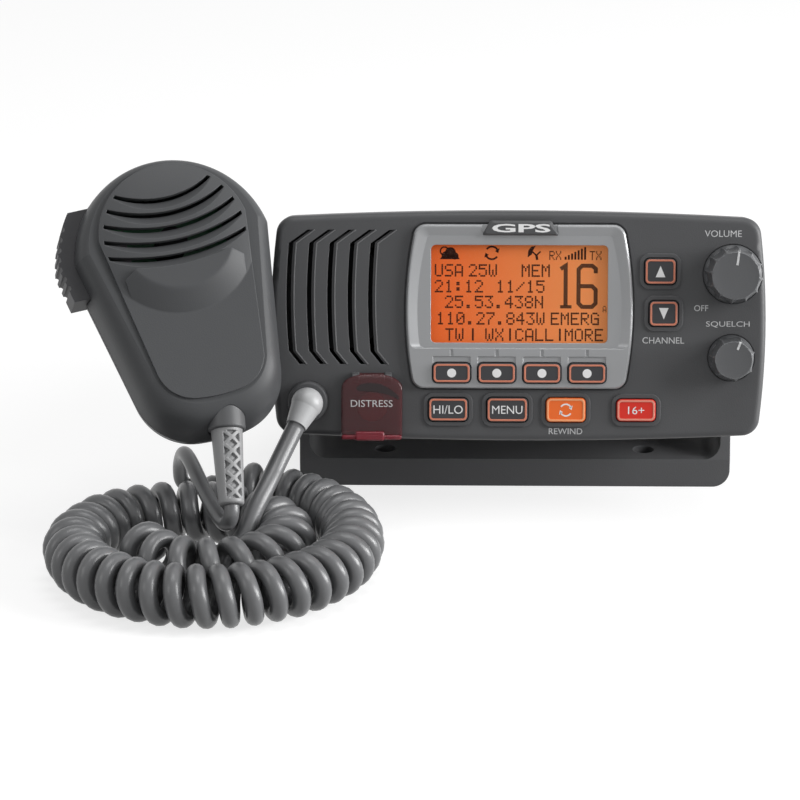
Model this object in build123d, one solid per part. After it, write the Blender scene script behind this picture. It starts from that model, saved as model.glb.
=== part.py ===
from build123d import *
from math import cos, pi, radians, sin, tan
import os

os.makedirs("parts", exist_ok=True)

# Fixed-mount VHF marine radio in its gimbal bracket, with its fist microphone and curly cord.
# Millimetres. +X right, +Y away from the user, +Z up. The origin is the middle of the bracket's base.
# The radio is modelled level with the gimbal axis at its own origin, and then set in the bracket.

# ---- fits ----
running_gap = 0.05  # radial, shaft in its bore
slip_gap = 0.3  # around keys, covers and other free-moving pieces
seat_gap = 0.1  # between pieces of one body that lie against each other

# ---- gimbal bracket ----
pivot_height = 54.0
tilt = 15.0  # degrees that the radio leans back
bracket_depth = 48.0
bracket_base = 10.0
bracket_skin = 3.0
bracket_arm = 3.4
bracket_bend = 6.0
arm_top_radius = 15.0
bracket_hole_radius = 3.65
bracket_hole_boss = 3.2
bracket_hole_spacing_x = 90.0
bracket_hole_spacing_y = 28.0

# ---- front panel ----
pivot_to_face = 57.0
panel_width = 165.0
panel_height = 76.6
panel_side_bulge = 2.5
panel_top_bulge = 2.2
panel_corner = 6.0
panel_depth = 13.0
panel_front_wall = 3.0
panel_wall = 2.6
panel_ledge = 1.6
panel_edge_round = 2.2

# ---- screws ----
screw_radius = 1.25
screw_head_radius = 2.4
screw_head_height = 1.8
panel_screw_x = 60.0
panel_screw_inset = 4.6
panel_boss_length = 4.5
boss_wall = 1.6

# ---- housing ----
housing_width = 138.8
housing_height = 56.0
housing_corner = 7.0
housing_wall = 2.5
housing_length = 85.0
flange_thickness = 3.0
gasket_thickness = 1.0

# ---- heat sink ----
sink_plate = 6.0
fin_length = 18.0
fin_thickness = 1.8
fin_pitch = 5.6
fin_chamfer = 10.0

# ---- display ----
bezel_proud = 2.4
bezel_sink = 0.8  # how deep the surround sits in the panel
bezel_gap = 0.6  # the groove round it
bezel_top_half = 34.4
bezel_middle_half = 37.7
bezel_bottom_half = 35.0
bezel_top = 33.9
bezel_bottom = -20.6
bezel_corner = 4.0
window_rim = 1.8
bezel_x = 0.3
window_width = 58.8
window_height = 32.6
window_z = 10.8
window_corner = 1.6
lens_thickness = 1.5
lens_margin = 1.4
lens_lip = 2.3
recess_rim = 0.9
recess_floor = 3.8  # inset of the recess's floor from the surround's edge
recess_depth = 1.3
recess_low = -7.3
recess_corner = 2.0
lens_corner = 2.0
badge_width = 25.0
badge_height = 5.3
badge_z = 32.4
badge_thickness = 1.2

# ---- keys ----
key_travel = 1.0
key_proud = 1.4
key_corner = 1.6
key_flange = 1.0
key_edge_round = 0.5
key_frame_width = 1.6
key_frame_proud = 0.7
soft_key_width, soft_key_height, soft_key_z = 12.5, 6.6, -15.4
soft_key_first, soft_key_pitch = -22.1, 15.0
soft_pocket_height, soft_pocket_depth = 2.1, 0.5
soft_tick_width, soft_tick_height, soft_tick_depth = 1.0, 2.2, 0.4
switch_radius = 2.6
switch_height = 0.8
board_thickness = 1.6

# name: (x, z, width, height)
panel_keys = {
    "power_level_key": (-23.2, -27.8, 13.1, 7.8),
    "menu_key": (-3.5, -27.8, 13.6, 8.1),
    "rewind_key": (16.0, -27.8, 13.1, 8.1),
    "channel_16_key": (39.4, -27.8, 13.0, 7.4),
    "channel_up_key": (47.1, 18.5, 10.4, 8.6),
    "channel_down_key": (48.3, 4.5, 9.6, 8.5),
}
soft_keys = {
    f"soft_key_{i + 1}": (soft_key_first + i * soft_key_pitch, soft_key_z, soft_key_width, soft_key_height)
    for i in range(4)
}

# ---- knobs on the panel ----
# name: (x, z, radius, height)
panel_knobs = {
    "volume": (71.2, 17.7, 9.7, 13.5),
    "squelch": (70.9, -10.2, 7.6, 12.0),
}
knob_flutes = {"volume": 12, "squelch": 9}
knob_foot = 2.0
knob_sink = 0.6
knob_cap = 3.0
knob_flute = 1.3
shaft_radius = 3.0
bushing_radius = 4.4
control_radius = 6.0
control_depth = 4.8
seal_ring = 0.9

# ---- speaker grille ----
slot_width = 2.3
slot_pitch = 6.8
slot_count = 5
slot_first = -75.3
slot_top, slot_bottom = 31.9, -12.9
slot_bend_top, slot_bend_bottom = 27.4, -8.5
slot_lean_top, slot_lean_bottom = 6.2, 3.6
slot_bulge = 0.8
speaker_x, speaker_z = -59.6, 9.5
speaker_radius = 17.6
speaker_depth = 5.8

# ---- boards and controls ----
board_left, board_right = -39.0, 55.0
board_half_height = 31.0
distress_board = 18.0, 13.0
main_board_z = -15.0
main_board_x = 55.0
main_board_feet_x = 46.0
amplifier_size = 56.0, 14.0, 11.0
gps_antenna_size = 20.0, 20.0, 6.0
gps_antenna_x, gps_antenna_y = 18.0, -20.0

# ---- distress button and its cover ----
cover_x = -48.6
cover_width = 20.2
cover_top, cover_shoulder, cover_bottom = -15.6, -20.9, -37.0
cover_arch_half = 6.5
cover_depth = 4.6
cover_wall = 1.2
cover_lip = 1.6
cover_pin_radius = 0.8
cover_barrel_radius = 1.7
cover_lug = 2.4
cover_hook = 0.6  # how far the shoulder arcs swell past their chord
distress_radius = 4.8
distress_z = -27.2

# ---- cord exit on the panel ----
exit_x, exit_z = -69.9, -25.3
ring_radius = 6.7
boot_radius = 4.7
boot_reach = 9.0
boot_ball = 5.25
boot_top_radius = 5.2
boot_end_radius = 3.5
boot_taper = 9.0

# ---- gimbal ----
pad_radius = 12.0
pad_thickness = 1.4
stud_radius = 3.0
stud_reach = 11.0
insert_radius = 5.0
arm_hole_radius = 3.4
gimbal_knob_radius = 13.0
gimbal_knob_height = 10.6
gimbal_knob_flutes = 10

# ---- rear fittings ----
fitting_inset = 25.4  # from the housing's sides
fitting_z = 2.0
antenna_radius = 7.9
antenna_length = 17.0
antenna_flange = 24.0
gland_radius = 8.5
gland_length = 15.0
gland_bore = 3.2

# ---- fist microphone: its cord exit is set first, and its upright body hangs on that ----
handset_place_at = (-95.6, -91.6, 50.8)
handset_lean, handset_yaw, handset_roll = 34.8, 10.9, 16.8
handset_shift, handset_set_back, handset_sink = -1.7, 7.5, 6.2  # body's foot, seen from the cord exit
cord_swing = 12.0  # degrees between the body's length and its cord
handset_height = 94.6
handset_top_half = 33.8
handset_bottom_half = 22.3
handset_bottom_corner = 20.5
handset_front_depth = 14.6
handset_back_depth = 12.0
handset_wall = 2.2
handset_gasket_thickness = 0.8
handset_draft = 4.5
foot_rise = 4.0
crown_rise = 1.8
# shares of the depth, of the draft, and of the rise at foot and crown
draft_sections = ((0, 0, 0), (0.5, 0.22, 0.2), (0.85, 0.62, 0.6), (1, 1.15, 1))
face_top_half = 24.9
face_bottom_half = 16.8
face_low = 10.8
face_margin = 3.9
face_corner = 12.5
face_step = 1.0
dome_below_top = 28.5
dome_radius = 26.5
dome_flat = 8.0
dome_height = 2.4
louvre_count = 5
louvre_pitch = 4.9
louvre_first = -7.3  # from the dome's middle
louvre_radius, louvre_radius_step = 66.0, 9.0
louvre_field = 23.5
louvre_slot = 1.2
louvre_slope, louvre_slope_depth = 2.6, 1.8
ptt_low, ptt_high = 54.0, 84.0
ptt_depth = 13.0
ptt_proud = 4.5
ptt_depth_in = 10.8
ptt_opening = 14.0
ptt_travel = 2.0
ptt_ribs = 7
top_post_below = 9.5
foot_post_x, foot_post_z = 13.0, 18.0
handset_board_y = 3.0
handset_board_width = 40.0
handset_board_low, handset_board_high = 24.0, 78.0
microphone_radius = 5.0
collar_radius = 6.2
collar_inside = 3.0
collar_outside = 6.0
relief_top_radius = 5.2
relief_end_radius = 4.2
relief_length = 25.0
relief_windows = 4
hanger_radius = 5.5
hanger_neck = 3.2
hanger_length = 6.0
hanger_head = 2.4
hanger_z = 50.0

# ---- cord ----
cord_radius = 3.0
handset_lead_radius = 2.5
curl_radius = 10.4
cord_lift = 0.2
coil_x, coil_y = -100.4, -104.3
coil_start_angle, coil_step_out, coil_stepped, coil_end_angle = 185.0, 442.0, 552.0, 815.0
coil_start_radius, coil_inner_radius, coil_outer_radius, coil_end_radius = 22.5, 26.5, 46.3, 49.0
coil_runs = 21

face_y = -pivot_to_face
wall_back_y = face_y + panel_front_wall
panel_back_y = face_y + panel_depth
flange_front_y = panel_back_y - flange_thickness
ledge_y = flange_front_y - gasket_thickness
housing_back_y = panel_back_y + housing_length
bezel_y = face_y - bezel_proud
knob_back_y = face_y + knob_sink - slip_gap
board_front_y = wall_back_y + key_flange + key_travel + switch_height + 2 * seat_gap
sink_face_y = housing_back_y + sink_plate
gland_x = housing_width / 2 - fitting_inset
antenna_x = -gland_x
bracket_width = housing_width + 2 * (pad_thickness + slip_gap + bracket_arm)
arm_inner_x = bracket_width / 2 - bracket_arm
curl_z = curl_radius + cord_lift
lens_back_y = bezel_y + lens_lip + lens_thickness
cover_axis_y = face_y - cover_barrel_radius - slip_gap
cover_axis_z = cover_top - cover_barrel_radius
lug_inner = cover_arch_half - cover_lug
ptt_inner_x = ptt_depth_in - handset_top_half
ptt_middle = (ptt_low + ptt_high) / 2
handset_face_y = -handset_front_depth - face_step
dome_z = handset_height - dome_below_top
handset_screw_posts = (
    (0.0, handset_height - top_post_below),
    (-foot_post_x, foot_post_z),
    (foot_post_x, foot_post_z),
)
boot_corner = (exit_x, face_y - boot_reach, exit_z)

radio_place = Pos(0, 0, pivot_height) * Rot(-tilt, 0, 0)
handset_place = (
    Pos(*handset_place_at) * Rot(-handset_lean, 0, 0) * Rot(0, 0, handset_yaw) * Rot(0, -handset_roll, 0)
)
handset_body_place = handset_place * Pos(handset_shift, handset_set_back, -handset_sink)
relief_place = handset_place * Rot(0, cord_swing, 0)
MIN_Z = (Align.CENTER, Align.CENTER, Align.MIN)
nodes = {}


# ---- helpers ----
def front_plane(y):
    """A plane that faces the user at depth y, with X to the right and Z up."""
    return Plane(origin=(0, y, 0), x_dir=(1, 0, 0), z_dir=(0, -1, 0))


def plate(sketch, back_y, thickness):
    """The sketch in the front view, from back_y towards the user."""
    return extrude(front_plane(back_y) * sketch, amount=thickness)


def rod(x, z, radius, back_y, length):
    return plate(Pos(x, z) * Circle(radius), back_y, length)


def rounded(width, height, corner):
    return RectangleRounded(width, height, min(corner, 0.49 * width, 0.49 * height))


def bulged(width, height, side_bulge, top_bulge, corner):
    """A rectangle whose four sides are shallow arcs."""
    x, z = width / 2 - side_bulge, height / 2 - top_bulge
    border = (
        ThreePointArc((-x, z), (0, height / 2), (x, z))
        + ThreePointArc((x, z), (width / 2, 0), (x, -z))
        + ThreePointArc((x, -z), (0, -height / 2), (-x, -z))
        + ThreePointArc((-x, -z), (-width / 2, 0), (-x, z))
    )
    outline = make_face(border)
    return fillet(outline.vertices(), corner)


def panel_outline(inset):
    return bulged(
        panel_width - 2 * inset,
        panel_height - 2 * inset,
        panel_side_bulge,
        panel_top_bulge,
        max(panel_corner - inset, 1.5),
    )


def housing_outline(inset):
    return rounded(housing_width - 2 * inset, housing_height - 2 * inset, max(housing_corner - inset, 1))


def bezel_outline(inset):
    """The display surround: flat top and bottom, and sides that swell like a barrel."""
    top, bottom = bezel_top - inset, bezel_bottom + inset
    top_x, mid_x, low_x = bezel_top_half - inset, bezel_middle_half - inset, bezel_bottom_half - inset
    middle = (top + bottom) / 2
    border = (
        Line((-top_x, top), (top_x, top))
        + ThreePointArc((top_x, top), (mid_x, middle), (low_x, bottom))
        + Line((low_x, bottom), (-low_x, bottom))
        + ThreePointArc((-low_x, bottom), (-mid_x, middle), (-top_x, top))
    )
    outline = make_face(border)
    return Pos(bezel_x, 0) * fillet(outline.vertices(), max(bezel_corner - inset, 1))


def recess_outline(inset):
    """The sunken field round the window, with a straight lower edge."""
    field = bezel_outline(inset) & Pos(bezel_x, recess_low + panel_height / 2) * Rectangle(
        panel_width, panel_height
    )
    return fillet(field.vertices().group_by(Axis.Y)[0], recess_corner)


def window_frame(inset):
    """The part of the display surround that stands in the panel's window."""
    margin = lens_margin + window_rim - inset
    frame = rounded(window_width + 2 * margin, window_height + 2 * margin, window_corner + margin)
    return Pos(bezel_x, window_z) * frame


def along_x(sketch, x, length):
    """The sketch in the side view, its X along +Y and its Y along +Z, from x towards +X."""
    side = Plane(origin=(x, 0, 0), x_dir=(0, 1, 0), z_dir=(1, 0, 0))
    return extrude(side * sketch, amount=length)


def fluted(radius, height, flutes, depth):
    """A round grip with half-round flutes, standing on z = 0."""
    grip = Cylinder(radius, height, align=MIN_Z)
    cutter = Cylinder(depth * 1.15, height * 3)
    for place in PolarLocations(radius + depth * 0.35, flutes):
        grip -= place * cutter
    return grip


def fillet_radii(points):
    """The largest fair radius at each corner: 0.45 of the shorter run over the tangent of half the turn."""
    radii = []
    for before, corner, after in zip(points, points[1:], points[2:]):
        run_in, run_out = Vector(corner) - Vector(before), Vector(after) - Vector(corner)
        turn = run_in.get_angle(run_out)
        radii.append(0.45 * min(run_in.length, run_out.length) / tan(radians(turn / 2)))
    return radii


def tube(name, points, radius):
    """A round cord along straight runs joined by tangent arcs."""
    radii = fillet_radii(points)
    path = FilletPolyline(*points, radius=radii)
    start = Plane(origin=points[0], z_dir=Vector(points[1]) - Vector(points[0]))
    solid = sweep(start * Circle(radius), path=path)
    share = solid.volume / (path.length * pi * radius**2)
    print(name, "length", round(path.length, 1), "volume share", round(share, 4))
    print(name, "radii", [round(r, 1) for r in radii])
    return solid


def local_points(place, points):
    return [tuple((place * Pos(*p)).position) for p in points]


# ---- gimbal bracket ----
def bracket_holes():
    return GridLocations(bracket_hole_spacing_x, bracket_hole_spacing_y, 2, 2)


def mounting_bracket():
    top = pivot_height + arm_top_radius
    half = bracket_width / 2
    outer = Pos(0, top / 2) * Rectangle(bracket_width, top)
    outer = fillet(outer.vertices().group_by(Axis.Y)[0], bracket_bend)
    inner = Pos(0, bracket_base + top / 2) * Rectangle(2 * arm_inner_x, top)
    inner = fillet(inner.vertices().group_by(Axis.Y)[0], bracket_bend)
    profile = outer - inner
    body = plate(profile, bracket_depth / 2, bracket_depth)
    base_side = Pos(0, bracket_base / 2) * Rectangle(bracket_depth, bracket_base)
    arm_side = Pos(0, pivot_height) * Circle(arm_top_radius)
    side = make_hull(base_side.edges() + arm_side.edges())
    body &= along_x(side, -half, bracket_width)
    pocket = Box(
        bracket_width - 2 * bracket_bend,
        bracket_depth - 2 * bracket_skin,
        bracket_base - bracket_skin,
        align=MIN_Z,
    )
    pocket = fillet(pocket.edges().filter_by(Axis.Z), 3)
    for place in bracket_holes():
        pocket -= place * Cylinder(bracket_hole_radius + bracket_hole_boss, 3 * bracket_base)
    rib_pitch = bracket_hole_spacing_x / 3
    for x in (-rib_pitch / 2, rib_pitch / 2):
        pocket -= Pos(x, 0, 0) * Box(bracket_skin * 0.8, bracket_depth, 3 * bracket_base)
    pocket -= Box(bracket_width, bracket_skin * 0.8, 3 * bracket_base)
    body -= pocket
    for place in bracket_holes():
        body -= place * Cylinder(bracket_hole_radius, 3 * bracket_base)
    body -= along_x(Pos(0, pivot_height) * Circle(arm_hole_radius), -half, bracket_width)
    return body


# ---- speaker slots ----
def speaker_slot(index):
    """One grille slot: a gently bowed strip whose two ends lean to the right."""
    x = slot_first + index * slot_pitch
    middle = (slot_bend_top + slot_bend_bottom) / 2
    half = slot_width / 2
    left = [
        Line((x + slot_lean_bottom - half, slot_bottom), (x - half, slot_bend_bottom)),
        ThreePointArc(
            (x - half, slot_bend_bottom), (x - half - slot_bulge, middle), (x - half, slot_bend_top)
        ),
        Line((x - half, slot_bend_top), (x + slot_lean_top - half, slot_top)),
    ]
    right = [
        Line((x + slot_lean_top + half, slot_top), (x + half, slot_bend_top)),
        ThreePointArc(
            (x + half, slot_bend_top), (x + half - slot_bulge, middle), (x + half, slot_bend_bottom)
        ),
        Line((x + half, slot_bend_bottom), (x + slot_lean_bottom + half, slot_bottom)),
    ]
    ends = [
        Line((x + slot_lean_top - half, slot_top), (x + slot_lean_top + half, slot_top)),
        Line((x + slot_lean_bottom + half, slot_bottom), (x + slot_lean_bottom - half, slot_bottom)),
    ]
    return make_face(Curve() + left + ends[:1] + right + ends[1:])


def cover_outline(inset):
    """The distress cover from the front: straight sides and an arched top."""
    half, arch = cover_width / 2 - inset, cover_arch_half - inset
    top, low = cover_top - inset, cover_bottom + inset
    border = (
        Line((-half, low), (half, low))
        + Line((half, low), (half, cover_shoulder))
        + ThreePointArc(
            (half, cover_shoulder),
            ((half + arch) / 2 + cover_hook, (cover_shoulder + top) / 2 + cover_hook),
            (arch, top),
        )
        + Line((arch, top), (-arch, top))
        + ThreePointArc(
            (-arch, top),
            (-(half + arch) / 2 - cover_hook, (cover_shoulder + top) / 2 + cover_hook),
            (-half, cover_shoulder),
        )
        + Line((-half, cover_shoulder), (-half, low))
    )
    return Pos(cover_x, 0) * make_face(border)


def panel_screws():
    x, z = panel_screw_x, panel_height / 2 - panel_wall - panel_screw_inset
    return [(-x, -z), (-x, z), (x, -z), (x, z)]


def front_panel():
    body = plate(panel_outline(0), panel_back_y, panel_depth)
    body = fillet(body.faces().sort_by(Axis.Y)[0].edges(), panel_edge_round)
    body -= plate(panel_outline(panel_wall), panel_back_y, panel_back_y - ledge_y)
    body -= plate(panel_outline(panel_wall + panel_ledge), panel_back_y, panel_back_y - wall_back_y)
    for x, z in panel_screws():
        body += rod(x, z, screw_radius + boss_wall, ledge_y, panel_boss_length)
        body -= rod(x, z, screw_radius, ledge_y, panel_boss_length - 0.5)
    for i in range(slot_count):
        body -= plate(speaker_slot(i), wall_back_y + 1, panel_front_wall + 2)
    body -= plate(bezel_outline(-bezel_gap), face_y + bezel_sink, bezel_sink + 1)
    body -= plate(window_frame(-seat_gap), wall_back_y + 1, panel_front_wall + 2)
    for x, z, width, height in soft_keys.values():
        hole = rounded(width + 2 * slip_gap, height + 2 * slip_gap, key_corner + slip_gap)
        body -= plate(Pos(x, z) * hole, wall_back_y + 1, panel_front_wall + 2)
    for x, z, width, height in panel_keys.values():
        frame = rounded(width + 2 * key_frame_width, height + 2 * key_frame_width, key_corner + key_frame_width)
        body += plate(Pos(x, z) * frame, face_y, key_frame_proud)
        hole = rounded(width + 2 * slip_gap, height + 2 * slip_gap, key_corner + slip_gap)
        body -= plate(Pos(x, z) * hole, wall_back_y + 1, panel_front_wall + key_frame_proud + 2)
    for x, z, radius, _ in panel_knobs.values():
        body -= rod(x, z, bushing_radius, wall_back_y + 1, panel_front_wall + 2)
        body -= rod(x, z, radius + slip_gap, face_y + knob_sink, 2)
    body -= rod(exit_x, exit_z, ring_radius, wall_back_y + 1, panel_front_wall + 2)
    body -= rod(cover_x, distress_z, distress_radius + slip_gap, wall_back_y + 1, panel_front_wall + 2)
    for side in (-1, 1):
        x = cover_x + side * (lug_inner + slip_gap)
        lug = Pos(cover_axis_y, cover_axis_z) * Circle(cover_barrel_radius)
        lug += Pos((cover_axis_y + face_y + 1) / 2, cover_axis_z) * Rectangle(
            face_y + 1 - cover_axis_y, 2 * cover_barrel_radius
        )
        length = cover_lug - slip_gap
        body += along_x(lug, x if side > 0 else x - length, length)
    body -= along_x(
        Pos(cover_axis_y, cover_axis_z) * Circle(cover_pin_radius), cover_x - cover_width, 2 * cover_width
    )
    return body


# ---- display ----
def display_bezel():
    """The display surround: a sunken field with the window in it, and pockets for the soft keys."""
    body = plate(bezel_outline(0), face_y + bezel_sink, bezel_proud + bezel_sink)
    body = chamfer(body.faces().sort_by(Axis.Y)[0].edges(), recess_rim * 0.6)
    body += plate(window_frame(0), wall_back_y, panel_front_wall)
    field = [front_plane(bezel_y) * recess_outline(recess_rim)]
    field.append(front_plane(bezel_y + recess_depth) * recess_outline(recess_floor))
    body -= loft(field)
    opening = Pos(bezel_x, window_z) * rounded(window_width, window_height, window_corner)
    seat = Pos(bezel_x, window_z) * rounded(
        window_width + 2 * (lens_margin + seat_gap), window_height + 2 * (lens_margin + seat_gap), lens_corner
    )
    body -= plate(opening, wall_back_y + 1, 20)
    body -= plate(seat, wall_back_y, panel_front_wall + bezel_proud - lens_lip)
    for x, z, width, height in soft_keys.values():
        key_top = z + height / 2
        hole = rounded(width + 2 * slip_gap, height + 2 * slip_gap, key_corner + slip_gap)
        body -= plate(Pos(x, z) * hole, wall_back_y + 1, 20)
        pocket = Pos(x, key_top + soft_pocket_height / 2 - 1) * Rectangle(width, soft_pocket_height + 2)
        body -= plate(pocket, bezel_y + soft_pocket_depth, 5)
        tick_z = key_top + soft_pocket_height + soft_tick_height / 2 + seat_gap
        tick = Pos(x, tick_z) * Rectangle(soft_tick_width, soft_tick_height)
        body -= plate(tick, bezel_y + soft_tick_depth, 5)
    badge_seat = Pos(bezel_x, badge_z) * Rectangle(badge_width + 2 * seat_gap, badge_height)
    return body - plate(badge_seat, bezel_y + badge_thickness * 0.6, 5)


def display_window():
    lens = rounded(window_width + 2 * lens_margin, window_height + 2 * lens_margin, lens_corner)
    return plate(Pos(bezel_x, window_z) * lens, lens_back_y, lens_thickness)


def lcd_module():
    cell = rounded(window_width + 2 * lens_margin - 0.6, window_height + 2 * lens_margin - 0.6, 1)
    front_y = lens_back_y + seat_gap
    return plate(Pos(bezel_x, window_z) * cell, board_front_y - seat_gap, board_front_y - seat_gap - front_y)


def display_badge():
    """A small plate with slanted ends on the top edge of the display surround."""
    half, low = badge_width / 2, badge_width / 2 - 3.2
    top, bottom = badge_height / 2, -badge_height / 2
    shape = make_face(Polyline((-half, top), (half, top), (low, bottom), (-low, bottom), close=True))
    return plate(Pos(bezel_x, badge_z) * shape, bezel_y + badge_thickness * 0.6, badge_thickness)


# ---- keys ----
def key(x, z, width, height, surface_y):
    cap = rounded(width, height, key_corner)
    flange_y = wall_back_y + seat_gap + key_flange
    body = plate(Pos(x, z) * cap, flange_y, flange_y - surface_y + key_proud)
    body = fillet(body.faces().sort_by(Axis.Y)[0].edges(), key_edge_round)
    flange = rounded(width + 2 * key_flange, height + 2 * key_flange, key_corner)
    return body + plate(Pos(x, z) * flange, flange_y, key_flange)


def distress_button():
    flange_y = wall_back_y + seat_gap + key_flange
    body = rod(cover_x, distress_z, distress_radius, flange_y, flange_y - face_y + key_proud)
    body = fillet(body.faces().sort_by(Axis.Y)[0].edges(), key_edge_round)
    return body + rod(cover_x, distress_z, distress_radius + key_flange, flange_y, key_flange)


def distress_cover():
    body = plate(cover_outline(0), face_y - slip_gap, cover_depth)
    body = fillet(body.faces().sort_by(Axis.Y)[0].edges(), 1.0)
    body -= plate(cover_outline(cover_wall), face_y, cover_depth - cover_wall + slip_gap)
    slab = Pos(cover_x, cover_top - cover_barrel_radius) * Rectangle(
        cover_width, 2 * cover_barrel_radius + 2 * slip_gap
    )
    body -= plate(slab, face_y + 1, 20)
    barrel = Pos(cover_axis_y, cover_axis_z) * Circle(cover_barrel_radius)
    arm = Pos(cover_axis_y, cover_axis_z - cover_barrel_radius) * Rectangle(
        cover_wall * 1.3, 2 * cover_barrel_radius + 3 * slip_gap
    )
    web = along_x(barrel + arm, cover_x - lug_inner, 2 * lug_inner)
    roof_z = cover_top - 2 * cover_barrel_radius - slip_gap
    roof = Pos(cover_x, roof_z - cover_wall / 2) * Rectangle(2 * lug_inner, cover_wall)
    body += web + plate(roof, face_y - slip_gap, cover_depth - 0.2)
    lip = Pos(cover_x, cover_bottom + 1.6) * rounded(cover_width, 3.2, 1)
    body += plate(lip, face_y - slip_gap - cover_depth + cover_wall, cover_lip + cover_wall)
    return body - along_x(
        Pos(cover_axis_y, cover_axis_z) * Circle(cover_pin_radius + running_gap),
        cover_x - cover_width,
        2 * cover_width,
    )


def cover_pin():
    reach = lug_inner + cover_lug
    return along_x(Pos(cover_axis_y, cover_axis_z) * Circle(cover_pin_radius), cover_x - reach, 2 * reach)


# ---- boards, speaker, controls ----
def front_board():
    width = board_right - board_left
    body = plate(
        Pos((board_left + board_right) / 2, 0) * rounded(width, 2 * board_half_height, 2),
        board_front_y + board_thickness,
        board_thickness,
    )
    return body + plate(
        Pos(board_left + 0.2 - distress_board[0] / 2, distress_z + 2.0) * rounded(*distress_board, 2),
        board_front_y + board_thickness,
        board_thickness,
    )


def key_switches():
    places = [(x, z) for x, z, _, _ in (*panel_keys.values(), *soft_keys.values())] + [(cover_x, distress_z)]
    return [rod(x, z, switch_radius, board_front_y, switch_height) for x, z in places]


def speaker():
    """A flat round loudspeaker: rim, sunken cone and magnet."""
    rim_y = wall_back_y + seat_gap
    profile = make_face(
        Polyline(
            (0, 2.2),
            (4, 2.6),
            (speaker_radius - 3, 0.6),
            (speaker_radius, 0),
            (speaker_radius, 1.6),
            (10, speaker_depth - 2),
            (9, speaker_depth),
            (0, speaker_depth),
            close=True,
        )
    )
    body = revolve(Plane.XY * profile, axis=Axis.Y)
    return Pos(speaker_x, rim_y, speaker_z) * body


def control_body(x, z):
    body = rod(x, z, control_radius, wall_back_y + seat_gap + control_depth, control_depth)
    body += rod(x, z, bushing_radius - seat_gap, wall_back_y + 1, panel_front_wall + 1.6)
    return body - rod(x, z, shaft_radius + running_gap, wall_back_y + control_depth - 0.8, 20)


def control_shaft(x, z, height):
    back_y = wall_back_y + control_depth - 1.4
    return rod(x, z, shaft_radius, back_y, back_y - knob_back_y + height - knob_cap)


def knob_seal(x, z):
    ring = Circle(bushing_radius + seal_ring) - Circle(bushing_radius)
    return plate(Pos(x, z) * ring, face_y + knob_sink, seal_ring)


def knob(x, z, radius, height, flutes):
    """Fluted grip on a round foot, with a blind bore for the shaft and a pointer notch."""
    body = fluted(radius - 0.6, height, flutes, knob_flute)
    body += Cylinder(radius, knob_foot, align=MIN_Z)
    dish = Pos(0, 0, height) * Cylinder(radius - 3.2, 0.8)
    body -= dish
    body -= Pos(0, radius / 2 + 1.0, height) * Box(1.4, radius, 1.0)
    hollow = Cylinder(bushing_radius + seal_ring + slip_gap, 2.4, align=MIN_Z)
    bore = Cylinder(shaft_radius, height - knob_cap, align=MIN_Z)
    body -= hollow + bore
    return front_plane(knob_back_y).location * Pos(x, z, 0) * body


# ---- rear housing and what it holds ----
def flange_outline(inset):
    return panel_outline(panel_wall + seat_gap + inset)


def rear_housing():
    body = plate(housing_outline(0), housing_back_y, housing_back_y - flange_front_y)
    body += plate(flange_outline(0), panel_back_y, flange_thickness)
    body -= plate(housing_outline(housing_wall), housing_back_y, housing_back_y - flange_front_y + 1)
    for side in (-1, 1):
        boss_x = side * (housing_width / 2 - stud_reach / 2 - housing_wall / 2)
        boss = Pos(boss_x, 0, 0) * Rot(0, 90, 0) * Cylinder(insert_radius + 2, stud_reach - housing_wall / 2)
        body += boss
        bore = Pos(side * housing_width / 2, 0, 0) * Rot(0, 90, 0) * Cylinder(insert_radius, 2 * stud_reach)
        body -= bore
    for x, z in panel_screws():
        body -= rod(x, z, screw_radius + 0.2, panel_back_y + 1, flange_thickness + 2)
    for x, y in main_board_feet():
        body += Pos(x, y, 0) * Cylinder(3, main_board_z + housing_height / 2 - 1, align=MIN_Z).move(
            Location((0, 0, 1 - housing_height / 2))
        )
    return body


def main_board_feet():
    x = main_board_feet_x
    return [(side * x, y) for side in (-1, 1) for y in (flange_front_y + 12, housing_back_y - 16)]


def main_board():
    length = housing_back_y - flange_front_y - 10
    middle = (housing_back_y + flange_front_y) / 2
    return Pos(0, middle, main_board_z) * Box(2 * main_board_x, length, board_thickness, align=MIN_Z)


def power_amplifier():
    block = Box(*amplifier_size, align=(Align.CENTER, Align.MAX, Align.MIN))
    return Pos(0, housing_back_y, main_board_z + board_thickness) * block


def gps_antenna():
    block = Box(*gps_antenna_size, align=(Align.CENTER, Align.CENTER, Align.MAX))
    return Pos(gps_antenna_x, gps_antenna_y, housing_height / 2 - housing_wall) * block


def housing_gasket():
    ring = panel_outline(panel_wall + seat_gap) - panel_outline(panel_wall + panel_ledge)
    return plate(ring, flange_front_y, gasket_thickness)


def housing_screws():
    screws = []
    for x, z in panel_screws():
        length = panel_back_y - ledge_y + panel_boss_length - 1
        shank = rod(x, z, screw_radius, panel_back_y, length)
        screws.append(shank + rod(x, z, screw_head_radius, panel_back_y + screw_head_height, screw_head_height))
    return screws


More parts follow.
